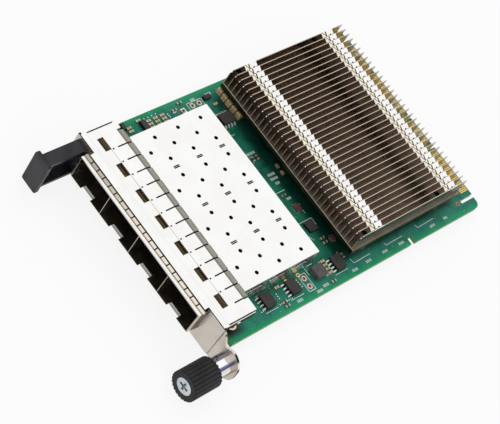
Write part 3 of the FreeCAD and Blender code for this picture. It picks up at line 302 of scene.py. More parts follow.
@dataclass(frozen=True)
class Limit:
    """1 where a gauge is over the low limit and under the high one, else 0."""

    gauge: Gauge
    low: float = -FAR
    high: float = FAR

    def mask(self, bench: Bench) -> Channel:
        """The mask over a surface."""
        return bench.gauge(self.gauge).between(self.low, self.high)


@dataclass(frozen=True)
class Fade(Limit):
    """0 at the low limit and 1 at the high one, eased between them; it falls where low is the larger."""

    def mask(self, bench: Bench) -> Channel:
        """The mask over a surface."""
        return bench.gauge(self.gauge).rising(self.low, self.high)


@dataclass(frozen=True)
class Cycle(Limit):
    """1 where the gauge's share of its present period is between the limits, else 0."""

    start: float = 0.0
    period: float = 1.0

    def mask(self, bench: Bench) -> Channel:
        """The mask over a surface."""
        return (bench.gauge(self.gauge) - self.start).turns(self.period).between(self.low, self.high)


TOP = Limit(Gauge.FACING_Z, low=0.5)
SLANTED_TOP = Limit(Gauge.FACING_Z, low=0.3)
UNDERSIDE = Limit(Gauge.FACING_Z, high=-0.6)
FRONT = Limit(Gauge.FACING_Y, high=-0.5)
FLANKS = Limit(Gauge.SQUARE_X, low=0.5)
NOT_FRONT_OR_REAR = Limit(Gauge.SQUARE_Y, high=0.5)


@dataclass(frozen=True)
class Patch:
    """Part of a surface with its own colour: plain, or stops along a gauge from a start over a length."""

    name: str
    colour: Union[Colour, Stops]
    limits: tuple[Limit, ...] = ()
    ramp: Optional[tuple[Gauge, float, float]] = None
    share: float = 1.0
    matt: bool = False

    def mask(self, bench: Bench) -> Value:
        """The patch's share over the surface, which is 0 outside any of its limits."""
        return math.prod((limit.mask(bench) for limit in self.limits), start=self.share)

    def laid_on(self, bench: Bench, surface: Channel) -> Channel:
        """Lays the patch on a surface.

        Args:
            bench: the material's nodes.
            surface: the colour without the patch.
        Returns:
            The colour with the patch.
        """
        colour = self.colour
        if self.ramp:
            gauge, start, length = self.ramp
            place = (bench.gauge(gauge) - start) / length
            colour = bench.add("ShaderNodeValToRGB", {"stops": colour}, {0: place})
        return bench.blend(self.mask(bench), surface, colour, self.name)


@dataclass(frozen=True)
class CopperRuns(Patch):
    """Copper traces under the mask: runs along, across and askew, each kind in its own areas."""

    pitches: Point = (0.62, 0.806, 0.992)
    halves: Point = (0.2, 0.16, 0.14)
    areas: Point = (0.54, 0.42, 0.62)

    def mask(self, bench: Bench) -> Channel:
        """The share of the traces over the board.

        Args:
            bench: the material's nodes.
        Returns:
            The mask.
        """
        across, lengthwise = bench.gauge(Gauge.X), bench.gauge(Gauge.Y)
        lines = [value.turns(pitch).near(0.5, half) for value, pitch, half in
                 zip((across, lengthwise, across + lengthwise), self.pitches, self.halves)]
        area = bench.noise(9.0, detail=1.0)
        straight = (lines[0] * area.over(self.areas[0])).larger(lines[1] * area.under(self.areas[1]))
        askew = lines[2] * bench.noise(5.0, detail=0.0).over(self.areas[2])
        return straight.larger(askew) * self.share


@dataclass(frozen=True)
class Vias(Patch):
    """Small vias, scattered over half of the board."""

    pitch: float = 1.7
    reach: float = 0.13
    area: float = 0.48

    def mask(self, bench: Bench) -> Channel:
        """The share of the vias over the board."""
        scattered = bench.cells(self.pitch).under(self.reach)
        return scattered * bench.noise(7.0, detail=0.0).over(self.area) * self.share


@dataclass(frozen=True)
class CrownArc(Patch):
    """A painted highlight: a bright arc on each bracket screw, where its crown turns down."""

    left: float = -33.55
    right: float = 33.05
    centre: float = -112.0
    radii: Flat = (1.15, 1.62)
    arc: Flat = (-0.35, 0.3)

    def mask(self, bench: Bench) -> Channel:
        """1 on the arcs.

        Args:
            bench: the material's nodes.
        Returns:
            The mask.
        """
        across, behind = bench.gauge(Gauge.X), bench.gauge(Gauge.Y) - self.centre
        aside = across - self.left - across.over(0.0) * (self.right - self.left)
        reach = aside * aside + behind * behind
        on_crown = reach.between(self.radii[0] ** 2, self.radii[1] ** 2)
        return super().mask(bench) * on_crown * behind.angle_from(aside).between(*self.arc)


@dataclass(frozen=True)
class TabRow(Patch):
    """A row of folded tabs across the fins, in painted light: cream narrow ones, a slit, then white wide
    ones, with painted shade in their folds, notches and borders.
    """

    start: float = 0.0
    first_fin: float = -34.9
    pitch: float = 2.0
    lean: float = 0.7
    narrow: float = 1.6
    slit: float = 0.5
    wide: float = 3.0
    cream: Colour = (0.88, 0.82, 0.68)
    fold: Colour = (0.1, 0.075, 0.05)
    crease: Flat = (0.35, 1.6)
    crease_half: float = 0.16
    notch: float = 3.6
    notch_half: float = 0.3
    notched: float = 0.72
    border: float = 0.9

    def laid_on(self, bench: Bench, surface: Channel) -> Channel:
        """Lays the row's painted light on the tabs and its painted shade on the creases, notches and borders.

        Args:
            bench: the material's nodes.
            surface: the colour without the row.
        Returns:
            The colour with the row.
        """
        share = (bench.gauge(Gauge.X) - self.first_fin).turns(self.pitch)
        depth = bench.gauge(Gauge.Y) - self.start + share * self.lean
        wide = self.narrow + self.slit
        on_narrow = self.mask(bench) * depth.between(-MARGIN, self.narrow + MARGIN)
        on_wide = self.mask(bench) * depth.between(wide - MARGIN, wide + self.wide + MARGIN)
        crease = depth.near(share * self.crease[1] + self.crease[0], self.crease_half)
        surface = bench.blend(on_narrow, surface, bench.blend(crease, self.cream, self.fold), "narrow tabs")
        notch = depth.near(self.notch, self.notch_half) * share.over(self.notched)
        surface = bench.blend(on_wide, surface, bench.blend(notch, self.colour, self.fold), "wide tabs")
        return bench.blend(on_wide * share.over(self.border) * 0.6, surface, self.fold, "borders")


# Finishes


@dataclass(frozen=True)
class Finish:
    """A surface with a drift of colour, a drift of gloss, a fine grain and patches of other colours."""

    name: str
    colour: Colour
    shade: Colour
    rough: float = 0.4
    rough_drift: float = 0.1
    metal: float = 0.0
    cloud: float = 6.0
    grain: float = 0.3
    depth: float = 0.01
    stretch: Point = EVEN
    gloss: float = 0.5
    patches: tuple[Patch, ...] = ()

    def base(self, bench: Bench) -> Channel:
        """The colour before any patch."""
        clouds = bench.noise(self.cloud, self.stretch, 3.0).rising(0.3, 0.7)
        return bench.blend(clouds, self.colour, self.shade)

    def colours(self, bench: Bench) -> Channel:
        """Lays the patches on the base colour.

        Args:
            bench: the material's nodes.
        Returns:
            The colour over the surface.
        """
        surface = self.base(bench)
        for patch in self.patches:
            surface = patch.laid_on(bench, surface)
        return surface

    def roughness(self, bench: Bench) -> Channel:
        """The roughness over the surface."""
        drift = bench.noise(self.cloud * 0.6, self.stretch) * (2 * self.rough_drift)
        return drift + (self.rough - self.rough_drift)

    def heights(self, bench: Bench) -> Channel:
        """The relief over the surface, from 0 to 1."""
        return bench.noise(self.grain, self.stretch)

    def metals(self, bench: Bench) -> Value:
        """How metallic the surface is: matt patches are too rough to mirror."""
        matt = (patch.mask(bench) for patch in self.patches if patch.matt)
        return math.prod((1.0 - mask for mask in matt), start=self.metal)

    def material(self) -> bpy.types.Material:
        """Returns the finish's material, built on its first use."""
        known = bpy.data.materials.get(self.name)
        if known:
            return known
        bench = Bench(self.name)
        shader = bench.add("ShaderNodeBsdfPrincipled", None, {
            "Base Color": self.colours(bench), "Roughness": self.roughness(bench),
            "Metallic": self.metals(bench), "Specular IOR Level": self.gloss,
            "Normal": bench.bump(self.heights(bench), self.depth)})
        bench.add("ShaderNodeOutputMaterial", None, {"Surface": shader})
        return bench.material


@dataclass(frozen=True)
class PlatedSheet(Finish):
    """Sheet metal with a nickel plate: fine rolling lines, and painted shade on the underside."""

    metal: float = 1.0
    gloss: float = 0.0
    # painted shade: the colour of faces that look down
    underside_shade: Colour = (0.25, 0.22, 0.18)
    rolled: Point = (1.0, 12.0, 1.0)

    def base(self, bench: Bench) -> Channel:
        """Clouded plate, with painted shade underneath."""
        return bench.blend(UNDERSIDE.mask(bench), super().base(bench), self.underside_shade)

    def heights(self, bench: Bench) -> Channel:
        """Rolling lines over a soft grain."""
        return bench.noise(self.grain, self.rolled, 3.0) * 0.6 + bench.noise(self.grain * 5) * 0.4


@dataclass(frozen=True)
class MouldedPlastic(Finish):
    """Moulded plastic with a spark-eroded grain and paler rubbed high spots."""

    rub: float = 0.35

    def base(self, bench: Bench) -> Channel:
        """Clouded plastic with paler specks where it is rubbed."""
        specks = bench.noise(self.grain * 2.5, detail=4.0).rising(0.62, 0.8)
        return bench.blend(specks * self.rub, super().base(bench), self.shade)

    def heights(self, bench: Bench) -> Channel:
        """Pebbled grain."""
        return bench.cells(self.grain) * 0.7 + bench.noise(self.grain * 0.5) * 0.3


@dataclass(frozen=True)
class FiredCeramic(Finish):
    """Fired ceramic with fine dark specks."""

    speck: Colour = (0.08, 0.05, 0.02)

    def base(self, bench: Bench) -> Channel:
        """Clouded body with specks."""
        specks = bench.noise(self.grain, detail=3.0).rising(0.6, 0.75) * 0.5
        return bench.blend(specks, super().base(bench), self.speck)


@dataclass(frozen=True)
class FinStock(Finish):
    """Fin sheet, whose sheared front edges are too rough to mirror."""

    def metals(self, bench: Bench) -> Channel:
        """0 on the front edges, else 1."""
        return bench.gauge(Gauge.FACING_Y).over(-0.5)


@dataclass(frozen=True)
class BandedChrome(Finish):
    """Polished chrome with painted reflection bands, whose dark bands stay dark at any angle."""

    def metals(self, bench: Bench) -> Channel:
        """1 on the bright painted reflection bands, by the red in their colour."""
        return bench.part(self.colours(bench), 0).over(0.3)


@dataclass(frozen=True)
class SolderMask(Finish):
    """The board: mask over copper traces, with a sawn laminate edge that has a copper foil at its foot."""

    traces: CopperRuns = CopperRuns("traces", (0.04, 0.34, 0.22), share=0.5)
    glass: tuple[Colour, Colour] = ((0.16, 0.34, 0.1), (0.06, 0.3, 0.12))
    weave: Point = (6.0, 6.0, 1.0)
    foil: Colour = (0.5, 0.26, 0.06)
    foil_top: float = -0.66
    proud: float = 1.4

    def colours(self, bench: Bench) -> Channel:
        """Patched mask, with the laminate and the foil on the sawn edges.

        Args:
            bench: the material's nodes.
        Returns:
            The colour over the surface.
        """
        glass = bench.blend(bench.noise(0.5, self.weave).rising(0.35, 0.65), *self.glass)
        sawn = bench.blend(Limit(Gauge.Z, high=self.foil_top).mask(bench), glass, self.foil)
        on_edge = Limit(Gauge.SQUARE_Z, high=0.5).mask(bench)
        return bench.blend(on_edge, super().colours(bench), sawn, "sawn edge")

    def heights(self, bench: Bench) -> Channel:
        """Traces stand a little proud under the mask."""
        return self.traces.mask(bench) * self.proud + bench.noise(self.grain) * 0.3


# Painted shade for tops hidden under the finger strip: near black, with a thin brown band.
SHADE_UNDER_STRIP: Stops = (
    (0.0, (0.022, 0.014, 0.008)), (0.17, (0.1, 0.072, 0.036)), (0.21, (0.02, 0.014, 0.01)),
    (1.0, (0.008, 0.006, 0.005)))
# Across the board: the mask's tone grows brighter towards the side edges, and the darker inboard part is
# partly painted shade near the parts.
BOARD_EDGE_TONE_AND_SHADE: Stops = (
    (0.0, (0.0, 0.07, 0.043)), (0.8, (0.0, 0.065, 0.04)), (0.87, (0.01, 0.15, 0.11)),
    (0.95, (0.014, 0.19, 0.13)), (0.975, (0.002, 0.31, 0.115)), (1.0, (0.003, 0.36, 0.11)))
# Painted shade on the finger strip's rear sloping ends: dark at the bend, grey beyond, dark at the tips.
FINGER_SLOPE_SHADE: Stops = (
    (0.0, (0.06, 0.055, 0.05)), (0.09, (0.17, 0.16, 0.145)), (0.36, (0.24, 0.23, 0.2)),
    (0.46, (0.33, 0.31, 0.27)), (0.9, (0.32, 0.29, 0.24)), (1.0, (0.05, 0.04, 0.03)))
# Painted light and shade across the crowned collar fingers: dark at the front edge, a painted highlight on
# the crest, dark at the rear.
CROWN_LIGHT_AND_SHADE: Stops = (
    (0.0, (0.09, 0.06, 0.04)), (0.08, (0.3, 0.24, 0.18)), (0.18, (0.62, 0.55, 0.45)),
    (0.34, (0.93, 0.88, 0.78)), (0.48, (0.82, 0.75, 0.63)), (0.58, (0.3, 0.23, 0.16)),
    (0.68, (0.07, 0.05, 0.035)), (1.0, (0.04, 0.025, 0.02)))
# Painted highlights and shade round the ear's rim, by the angle about the thumbscrew.
EAR_RIM_LIGHT_AND_SHADE: Stops = (
    (0.34, (0.7, 0.66, 0.6)), (0.4, (0.02, 0.018, 0.015)), (0.67, (0.02, 0.018, 0.015)),
    (0.71, (0.93, 0.92, 0.9)), (0.8, (0.93, 0.92, 0.9)), (0.84, (0.02, 0.018, 0.02)),
    (0.96, (0.03, 0.03, 0.03)), (1.0, (0.8, 0.78, 0.74)))
# Painted reflections round the thumbscrew sleeve, by the angle about its axis.
SLEEVE_PAINTED_REFLECTIONS: Stops = (
    (0.05, (0.01, 0.01, 0.01)), (0.12, (0.85, 0.83, 0.8)), (0.25, (0.72, 0.7, 0.69)),
    (0.29, (0.03, 0.035, 0.08)), (0.36, (0.16, 0.19, 0.36)), (0.4, (0.96, 0.97, 1.0)),
    (0.55, (1.0, 0.99, 0.97)), (0.6, (0.13, 0.13, 0.17)), (0.65, (0.42, 0.42, 0.46)),
    (0.7, (0.06, 0.06, 0.08)), (0.84, (0.02, 0.02, 0.03)))
# Painted shade on the heatsink base's front face, darkest at its foot, with faint lines.
SINK_FRONT_SHADE: Stops = (
    (0.0, (0.03, 0.03, 0.018)), (0.35, (0.06, 0.055, 0.035)), (0.5, (0.12, 0.1, 0.065)),
    (0.62, (0.05, 0.045, 0.03)), (0.85, (0.13, 0.11, 0.075)), (1.0, (0.1, 0.085, 0.06)))
# Painted glints on the fins' front chamfers: dark, with white dots at the corners.
FIN_CORNER_GLINTS: Stops = (
    (0.0, (0.05, 0.04, 0.03)), (0.42, (0.06, 0.05, 0.035)), (0.48, (1.0, 0.98, 0.94)),
    (0.68, (1.0, 0.98, 0.94)), (0.74, (0.03, 0.025, 0.02)), (0.88, (0.04, 0.03, 0.025)),
    (0.94, (1.0, 0.98, 0.92)))
UNDER_STRIP = (Gauge.Y, -118.0, 11.0)
# painted shadow colour on the board
PAINTED_SHADOW_GREEN: Colour = (0.0, 0.012, 0.008)
# painted light on the wide fin tabs
WHITE: Colour = (0.94, 0.92, 0.9)
PORT_PITCH = 14.225
LATCH_SHARE = 2.3 / PORT_PITCH
LATCH_LIPS = (Limit(Gauge.Y, -124.45, -123.78),
              Cycle(Gauge.X, 0.5 - LATCH_SHARE, 0.5 + LATCH_SHARE, -2 * PORT_PITCH - 0.25, PORT_PITCH))
FINGERS = (Limit(Gauge.Y, low=-124.7), SLANTED_TOP)
FIN_TOP = (Limit(Gauge.FACING_Z, low=0.6),)
BASE_FOOT, BASE_TOP, BASE_LINE = 3.73, 5.88, 0.22

MASK = SolderMask(
    "solder_mask", (0.002, 0.2, 0.105), (0.001, 0.1, 0.06), rough=0.42, cloud=11.0, depth=0.015,
    gloss=0.25, patches=(
        # partly painted shade inboard, partly the mask's own tone near the edges
        Patch("zones", BOARD_EDGE_TONE_AND_SHADE, ramp=(Gauge.ASIDE, 0.0, 38.0), share=0.65),
        Patch("front rim", (0.002, 0.33, 0.12), (Limit(Gauge.Y, high=-113.7),)),
        SolderMask.traces,
        Vias("vias", (0.25, 0.42, 0.3), share=0.6),
        # painted shadow on the board under and beside the finger strip's ends
        Patch("under the strip", PAINTED_SHADOW_GREEN, (Fade(Gauge.Y, -105.6, -111.0), Fade(Gauge.ASIDE, 37.2, 35.0)),
              share=0.9),
        # painted shadow on the board under the heatsink, fading out past its front and back
        Patch("by the heatsink", PAINTED_SHADOW_GREEN, (
            Fade(Gauge.Y, -66.0, -61.5), Fade(Gauge.Y, -8.0, -11.0), Fade(Gauge.ASIDE, 34.5, 31.0)),
              share=0.85)))
GOLD = Finish("plated_gold", (0.85, 0.6, 0.22), (0.75, 0.48, 0.14), rough=0.25, metal=1.0, cloud=1.2)
CAGE = PlatedSheet(
    "bright_nickel", (0.96, 0.96, 0.95), (0.93, 0.92, 0.9), rough=0.26, cloud=9.0, depth=0.0012, patches=(
        # painted shade on the cage top under the finger strip
        Patch("dull under the strip", SHADE_UNDER_STRIP, (Limit(Gauge.Y, high=-107.5), TOP), UNDER_STRIP),
        Patch("cut edges", (0.4, 0.37, 0.33), (FRONT,))))
STRIP = PlatedSheet(
    "strip_nickel", (0.96, 0.96, 0.95), (0.92, 0.91, 0.89), rough=0.24, cloud=5.0, depth=0.0012,
    underside_shade=(0.3, 0.27, 0.22), patches=(
        # painted shade: a faint darker line along the front crease
        Patch("front crease", (0.27, 0.27, 0.23), (Limit(Gauge.Y, -119.89, -119.71), TOP), share=0.16),
        Patch("scored line", (0.3, 0.24, 0.22), (
            Limit(Gauge.Y, -115.94, -115.76), TOP, Limit(Gauge.X, -30.0, 28.0)), share=0.75),
        # painted shade on the sloping finger ends
        Patch("sloping ends", FINGER_SLOPE_SHADE, (
            Limit(Gauge.FACING_Y, low=0.12), Limit(Gauge.Y, low=-110.3)), (Gauge.Y, -110.3, 2.9)),
        # painted shade on the strip's side skirts
        Patch("side skirts", (0.06, 0.052, 0.045), (Limit(Gauge.ASIDE, low=35.3), FLANKS), matt=True)))
COLLAR = PlatedSheet(
    "collar_nickel", (0.93, 0.92, 0.9), (0.86, 0.84, 0.81), rough=0.28, cloud=3.0, depth=0.002, patches=(
        Patch("cut edges", (0.5, 0.47, 0.43), (Limit(Gauge.FACING_Y, high=-0.7),)),
        # painted highlight and shade on the crowned fingers
        Patch("crowned fingers", CROWN_LIGHT_AND_SHADE, FINGERS, (Gauge.Y, -124.7, 2.3)),
        # the crowned fingers turn darker towards the pull tab
        Patch("duller towards the tab", (0.16, 0.135, 0.105), FINGERS + (Fade(Gauge.X, 4.0, -28.0),),
              share=0.55)))
BRACKET = PlatedSheet(
    "satin_nickel", (0.66, 0.6, 0.54), (0.58, 0.53, 0.47), rough=0.38, cloud=7.0, depth=0.006, patches=(
        # painted shade on the flange top under the finger strip
        Patch("flange under the strip", SHADE_UNDER_STRIP, (Limit(Gauge.Z, low=10.9), TOP), UNDER_STRIP),
        # painted shade on the bracket's side skirts
        Patch("skirts", (0.13, 0.115, 0.1), (Limit(Gauge.ASIDE, 35.2, 37.0), FLANKS)),
        # painted highlights and shade on the ear's rim
        Patch("ear rim", EAR_RIM_LIGHT_AND_SHADE, (Limit(Gauge.X, low=38.0), NOT_FRONT_OR_REAR),
              (Gauge.ROUND_SCREW, -0.5, 1.0), matt=True)))
DIVIDER = PlatedSheet("divider_nickel", (0.55, 0.52, 0.48), (0.42, 0.39, 0.35), rough=0.32, cloud=3.0,
                      depth=0.002)
# Port floors: nickel painted dark as the shade inside the ports, a painted highlight on the latch folds, and
# the lips' front faces a lighter grey.
FLOOR = PlatedSheet(
    "port_floor_painted_shade", (0.16, 0.13, 0.1), (0.1, 0.08, 0.06), rough=0.45, cloud=3.0, depth=0.004, patches=(
        Patch("rubbed folds", (0.93, 0.91, 0.88), LATCH_LIPS, matt=True),
        Patch("lip faces", (0.34, 0.29, 0.26), LATCH_LIPS + (FRONT,))))
SIDE_FINGER = Finish(
    "browned_nickel", (0.46, 0.41, 0.35), (0.34, 0.29, 0.24), metal=0.3, cloud=0.8, grain=0.1, gloss=0.1,
    patches=(Patch("dark edges", (0.05, 0.035, 0.025), (Cycle(Gauge.Z, -0.01, 0.54, 1.7906, 0.63),)),))
CONNECTOR = MouldedPlastic("connector_plastic", (0.012, 0.012, 0.012), (0.03, 0.03, 0.03), rough=0.5,
                           gloss=0.3)
TAB = MouldedPlastic("tab_plastic", (0.009, 0.009, 0.011), (0.03, 0.03, 0.034), rough=0.42, grain=0.22,
                     depth=0.012, gloss=0.3)
KNOB = MouldedPlastic("knob_plastic", (0.009, 0.009, 0.009), (0.02, 0.02, 0.021), rough=0.55, grain=0.18,
                      gloss=0.25)
STEEL = Finish("plain_steel", (0.62, 0.66, 0.68), (0.46, 0.5, 0.53), rough=0.32, metal=1.0, cloud=1.5,
               grain=0.1, depth=0.004)
SLEEVE = BandedChrome(
    "polished_chrome", (0.74, 0.74, 0.76), (0.62, 0.63, 0.68), rough=0.12, rough_drift=0.04, metal=1.0,
    cloud=2.0, grain=0.08, depth=0.002, stretch=(1.0, 0.2, 1.0), patches=(
        Patch("mirror bands", SLEEVE_PAINTED_REFLECTIONS, (Limit(Gauge.Z, low=0.885), NOT_FRONT_OR_REAR),
              (Gauge.ROUND_SCREW, 0.0, 1.0)),))
SINK_BASE = PlatedSheet(
    "satin_aluminium", (0.31, 0.245, 0.205), (0.24, 0.185, 0.15), rough=0.33, underside_shade=(0.3, 0.26, 0.2),
    patches=(
        # painted shade on the front face
        Patch("dark front", SINK_FRONT_SHADE, (FRONT,), (Gauge.Z, BASE_FOOT, BASE_TOP - BASE_FOOT)),
        # painted highlight along the base's lower side edges
        Patch("pale lower edge", (0.62, 0.58, 0.48), (Limit(Gauge.Z, high=BASE_FOOT + BASE_LINE), FLANKS)),
        # painted highlight along the base's top front edge
        Patch("milled edge", (0.62, 0.58, 0.46), (Limit(Gauge.Z, low=BASE_TOP - BASE_LINE), FRONT),
              matt=True)))
# Fin stock: the brown walls are darker than the metal as painted shade between the fins, and the tops get
# painted light.
FINS = FinStock(
    "fin_stock", (0.36, 0.29, 0.22), (0.3, 0.24, 0.18), rough=0.2, rough_drift=0.05, cloud=5.0, grain=0.15,
    depth=0.003, gloss=0.0, patches=(
        # painted light on the fins' top edges
        Patch("cut tops", (0.56, 0.48, 0.38), FIN_TOP),
        # painted glints on the fins' front corners
        Patch("cut corners", FIN_CORNER_GLINTS, (FRONT, SLANTED_TOP), (Gauge.Z, 10.48, 1.61)),
        # painted reflection of the green board on the last fin's outer wall
        Patch("outer wall", (0.1, 0.115, 0.08), (Limit(Gauge.X, low=31.2), Limit(Gauge.FACING_X, low=0.5))),
        Patch("front edges", (0.3, 0.27, 0.21), (Limit(Gauge.FACING_Y, high=-0.9),)),
        # painted light and shade on the two rows of tabs
        TabRow("front row", WHITE, FIN_TOP, start=-55.3),
        TabRow("rear row", WHITE, FIN_TOP, start=-19.8)))
# Copper-plated bracket screws, darkened to brown as painted shadow under the bracket's skirts.
SHADOWED_COPPER_SCREW = Finish(
    "copper_plate_in_painted_shadow", (0.3, 0.19, 0.11), (0.2, 0.12, 0.07), rough=0.32, metal=1.0, cloud=0.8,
    patches=(CrownArc("bright arcs", (0.85, 0.74, 0.58), (SLANTED_TOP,)),))
CHIP = MouldedPlastic(
    "chip_resin", (0.028, 0.025, 0.024), (0.05, 0.044, 0.043), rough=0.55, grain=0.12, gloss=0.3,
    patches=(Patch("black sides", (0.004, 0.004, 0.004), (Limit(Gauge.FACING_Z, high=0.4),)),))
PAD = Finish("silicone_pad", (0.5, 0.5, 0.48), (0.42, 0.42, 0.4), rough=0.7)
LEGS = Finish("tinned_leg", (0.92, 0.93, 0.92), (0.78, 0.79, 0.78), rough=0.35, metal=0.5, cloud=0.5)
TAN = FiredCeramic("tan_ceramic", (0.36, 0.23, 0.1), (0.5, 0.36, 0.2), rough=0.45, cloud=0.9, grain=0.1)
DARK = FiredCeramic("dark_ceramic", (0.035, 0.03, 0.028), (0.07, 0.055, 0.05), cloud=0.7, grain=0.1)
FERRITE = FiredCeramic("ferrite", (0.05, 0.05, 0.055), (0.09, 0.085, 0.085), rough=0.6, cloud=0.8,
                       grain=0.12)
OLIVE = FiredCeramic("olive_ceramic", (0.19, 0.115, 0.022), (0.27, 0.18, 0.05), rough=0.45, cloud=0.9,
                     grain=0.1)
CREAM = Finish("cream_tin", (0.66, 0.53, 0.32), (0.52, 0.38, 0.2), metal=0.3, cloud=0.6, grain=0.1)
INK = Finish("white_ink", (0.8, 0.84, 0.8), (0.68, 0.75, 0.7), rough=0.6, cloud=0.6, grain=0.1)
TIN = Finish("bright_tin", (0.95, 0.95, 0.92), (0.8, 0.8, 0.76), rough=0.32, metal=0.5, cloud=0.4,
             grain=0.12)
DULL_TIN = Finish("dull_tin", (0.7, 0.64, 0.54), (0.5, 0.42, 0.32), rough=0.35, metal=0.8, cloud=0.5,
                  grain=0.12)
RED_BROWN = Finish("red_brown_can", (0.12, 0.04, 0.04), (0.07, 0.03, 0.032), rough=0.35, cloud=0.8,
                   grain=0.12)
RING = Finish("pink_tin", (0.78, 0.56, 0.5), (0.66, 0.42, 0.36), rough=0.35, metal=0.3, cloud=0.5)
COPPER = Finish("via_copper", (0.62, 0.2, 0.14), (0.5, 0.14, 0.1), rough=0.35, metal=0.5, cloud=0.5)
# painted shade for the inside of the header holes
HOLE_SHADE = Finish("hole_painted_shade", (0.2, 0.016, 0.014), (0.12, 0.01, 0.01), rough=0.6)


# Meshes


class MeshDraft:
    """Corners and faces of one piece, in millimetres."""

    def __init__(self) -> None:
        """Starts with nothing drawn."""
        self.corners: list[Point] = []
        self.faces: list[tuple[int, ...]] = []

    def skin(self, loops: Sequence[Sequence[Point]], endless: bool = False) -> None:
        """Covers a row of loops that have the same number of corners.

        Args:
            loops: the corners of each loop.
            endless: whether the last loop meets the first; otherwise both ends are closed.
        """
        start, count = len(self.corners), len(loops[0])
        self.corners.extend(corner for loop in loops for corner in loop)
        if not endless:
            last = start + (len(loops) - 1) * count
            self.faces.append(tuple(reversed(range(start, start + count))))
            self.faces.append(tuple(range(last, last + count)))
        for place in range(len(loops) if endless else len(loops) - 1):
            near, far = start + place * count, start + (place + 1) % len(loops) * count
            for corner in range(count):
                ahead = (corner + 1) % count
                self.faces.append((near + corner, near + ahead, far + ahead, far + corner))

    def prism(self, outline: Sequence[Flat], low: float, high: float) -> None:
        """An outline in X and Y, pushed up from low to high."""
        self.skin([[(x, y, level) for x, y in outline] for level in (low, high)])

    def box(self, low: Point, high: Point) -> None:
        """A box by two corners."""
        outline = [(low[0], low[1]), (high[0], low[1]), (high[0], high[1]), (low[0], high[1])]
        self.prism(outline, low[2], high[2])

    def piece(self, name: str, finish: Finish, slot: Slot, bevel: float = 0.0) -> bpy.types.Object:
        """Makes the object, which rides on the card.

        Args:
            name: the piece's name.
            finish: what it is dressed in.
            slot: a material slot of the record; not used.
            bevel: the width of its rounded edges, or 0 for none.
        Returns:
            The object.
        """
        mesh = bpy.data.meshes.new(name)
        mesh.from_pydata([tuple(part * MM for part in corner) for corner in self.corners], [], self.faces)
        work = bmesh.new()
        work.from_mesh(mesh)
        bmesh.ops.recalc_face_normals(work, faces=work.faces)
        work.to_mesh(mesh)
        work.free()
        item = placed(name, mesh)
        item.data.materials.append(finish.material())
        if bevel:
            soften(item, bevel)
        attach(item, CARD_BODY)
        LOG.info("%s: %d faces", name, len(mesh.polygons))
        return item


class BoardDraft(MeshDraft):
    """Low pieces on the board, placed by X and the distance behind the board's front edge."""

    def block(self, x: float, distance: float, half_x: float, half_y: float, height: float) -> None:
        """Adds a block by its middle, half its width and length, and its height over the board."""
        y = along(distance)
        self.box((x - half_x, y - half_y, BOARD_TOP), (x + half_x, y + half_y, BOARD_TOP + height))

    def stroke(self, start: Flat, end: Flat, width: float, height: float) -> None:
        """Adds a straight line of ink.

        Args:
            start, end: its ends.
            width: its width.
            height: its thickness.
        """
        first, last = (Vector((x, along(distance))) for x, distance in (start, end))
        run = last - first
        side = Vector((-run.y, run.x)).normalized() * (width / 2)
        outline = [tuple(corner) for corner in (first - side, last - side, last + side, first + side)]
        self.prism(outline, BOARD_TOP, BOARD_TOP + height)

    def ring(self, centre: Flat, radii: Flat, levels: Flat = (0.0, 0.04), sides: int = 24) -> None:
        """Adds a flat ring about an upright axis.

        Args:
            centre: its middle.
            radii: its inner and outer radius.
            levels: the heights of its two faces over the board.
            sides: the corners of each circle.
        """
        inner, outer = radii
        low, high = (BOARD_TOP + level for level in levels)
        angles = [math.tau * step / sides for step in range(sides)]
        self.skin([[(centre[0] + radius * math.cos(angle), along(centre[1]) + radius * math.sin(angle), level)
                    for angle in angles]
                   for radius, level in ((inner, low), (outer, low), (outer, high), (inner, high))], True)


def placed(name: str, data: bpy.types.ID) -> bpy.types.Object:
    """Makes an object and puts it in the scene.

    Args:
        name: its name.
        data: its mesh, lamp or camera.
    Returns:
        The object.
    """
    item = bpy.data.objects.new(name, data)
    bpy.context.scene.collection.objects.link(item)
    return item


def soften(item: bpy.types.Object, width: float) -> None:
    """Rounds an object's sharp edges with modifiers, which leave its mesh as it is.

    Args:
        item: the object.
        width: the width of the rounded edges.
    """
    weld = item.modifiers.new("join_corners", "WELD")
    weld.merge_threshold = 1e-7
    round_over = item.modifiers.new("round_edges", "BEVEL")
    round_over.width = width * MM
    round_over.segments = 2
    round_over.limit_method = "ANGLE"
    round_over.angle_limit = math.radians(40)
    round_over.use_clamp_overlap = True


def solid_boxes(node: str) -> list[tuple[Point, Point]]:
    """Finds the separate solids of a CAD node.

    Args:
        node: the node's name.
    Returns:
        The two corners of each solid's box, in millimetres and in a fixed order.
    """
    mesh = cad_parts[node].data
    keys = [tuple(round(part / MM, 4) for part in vertex.co) for vertex in mesh.vertices]
    owner: dict[Point, Point] = {key: key for key in keys}

    def root(key: Point) -> Point:
        """The corner that stands for a key's solid."""
        while owner[key] != key:
            owner[key] = owner[owner[key]]
            key = owner[key]
        return key
    for edge in mesh.edges:
        owner[root(keys[edge.vertices[0]])] = root(keys[edge.vertices[1]])
    solids: dict[Point, list[Point]] = {}
    for key in owner:
        solids.setdefault(root(key), []).append(key)
    boxes = [(tuple(map(min, zip(*points))), tuple(map(max, zip(*points)))) for points in solids.values()]
    return sorted(boxes)


# The card


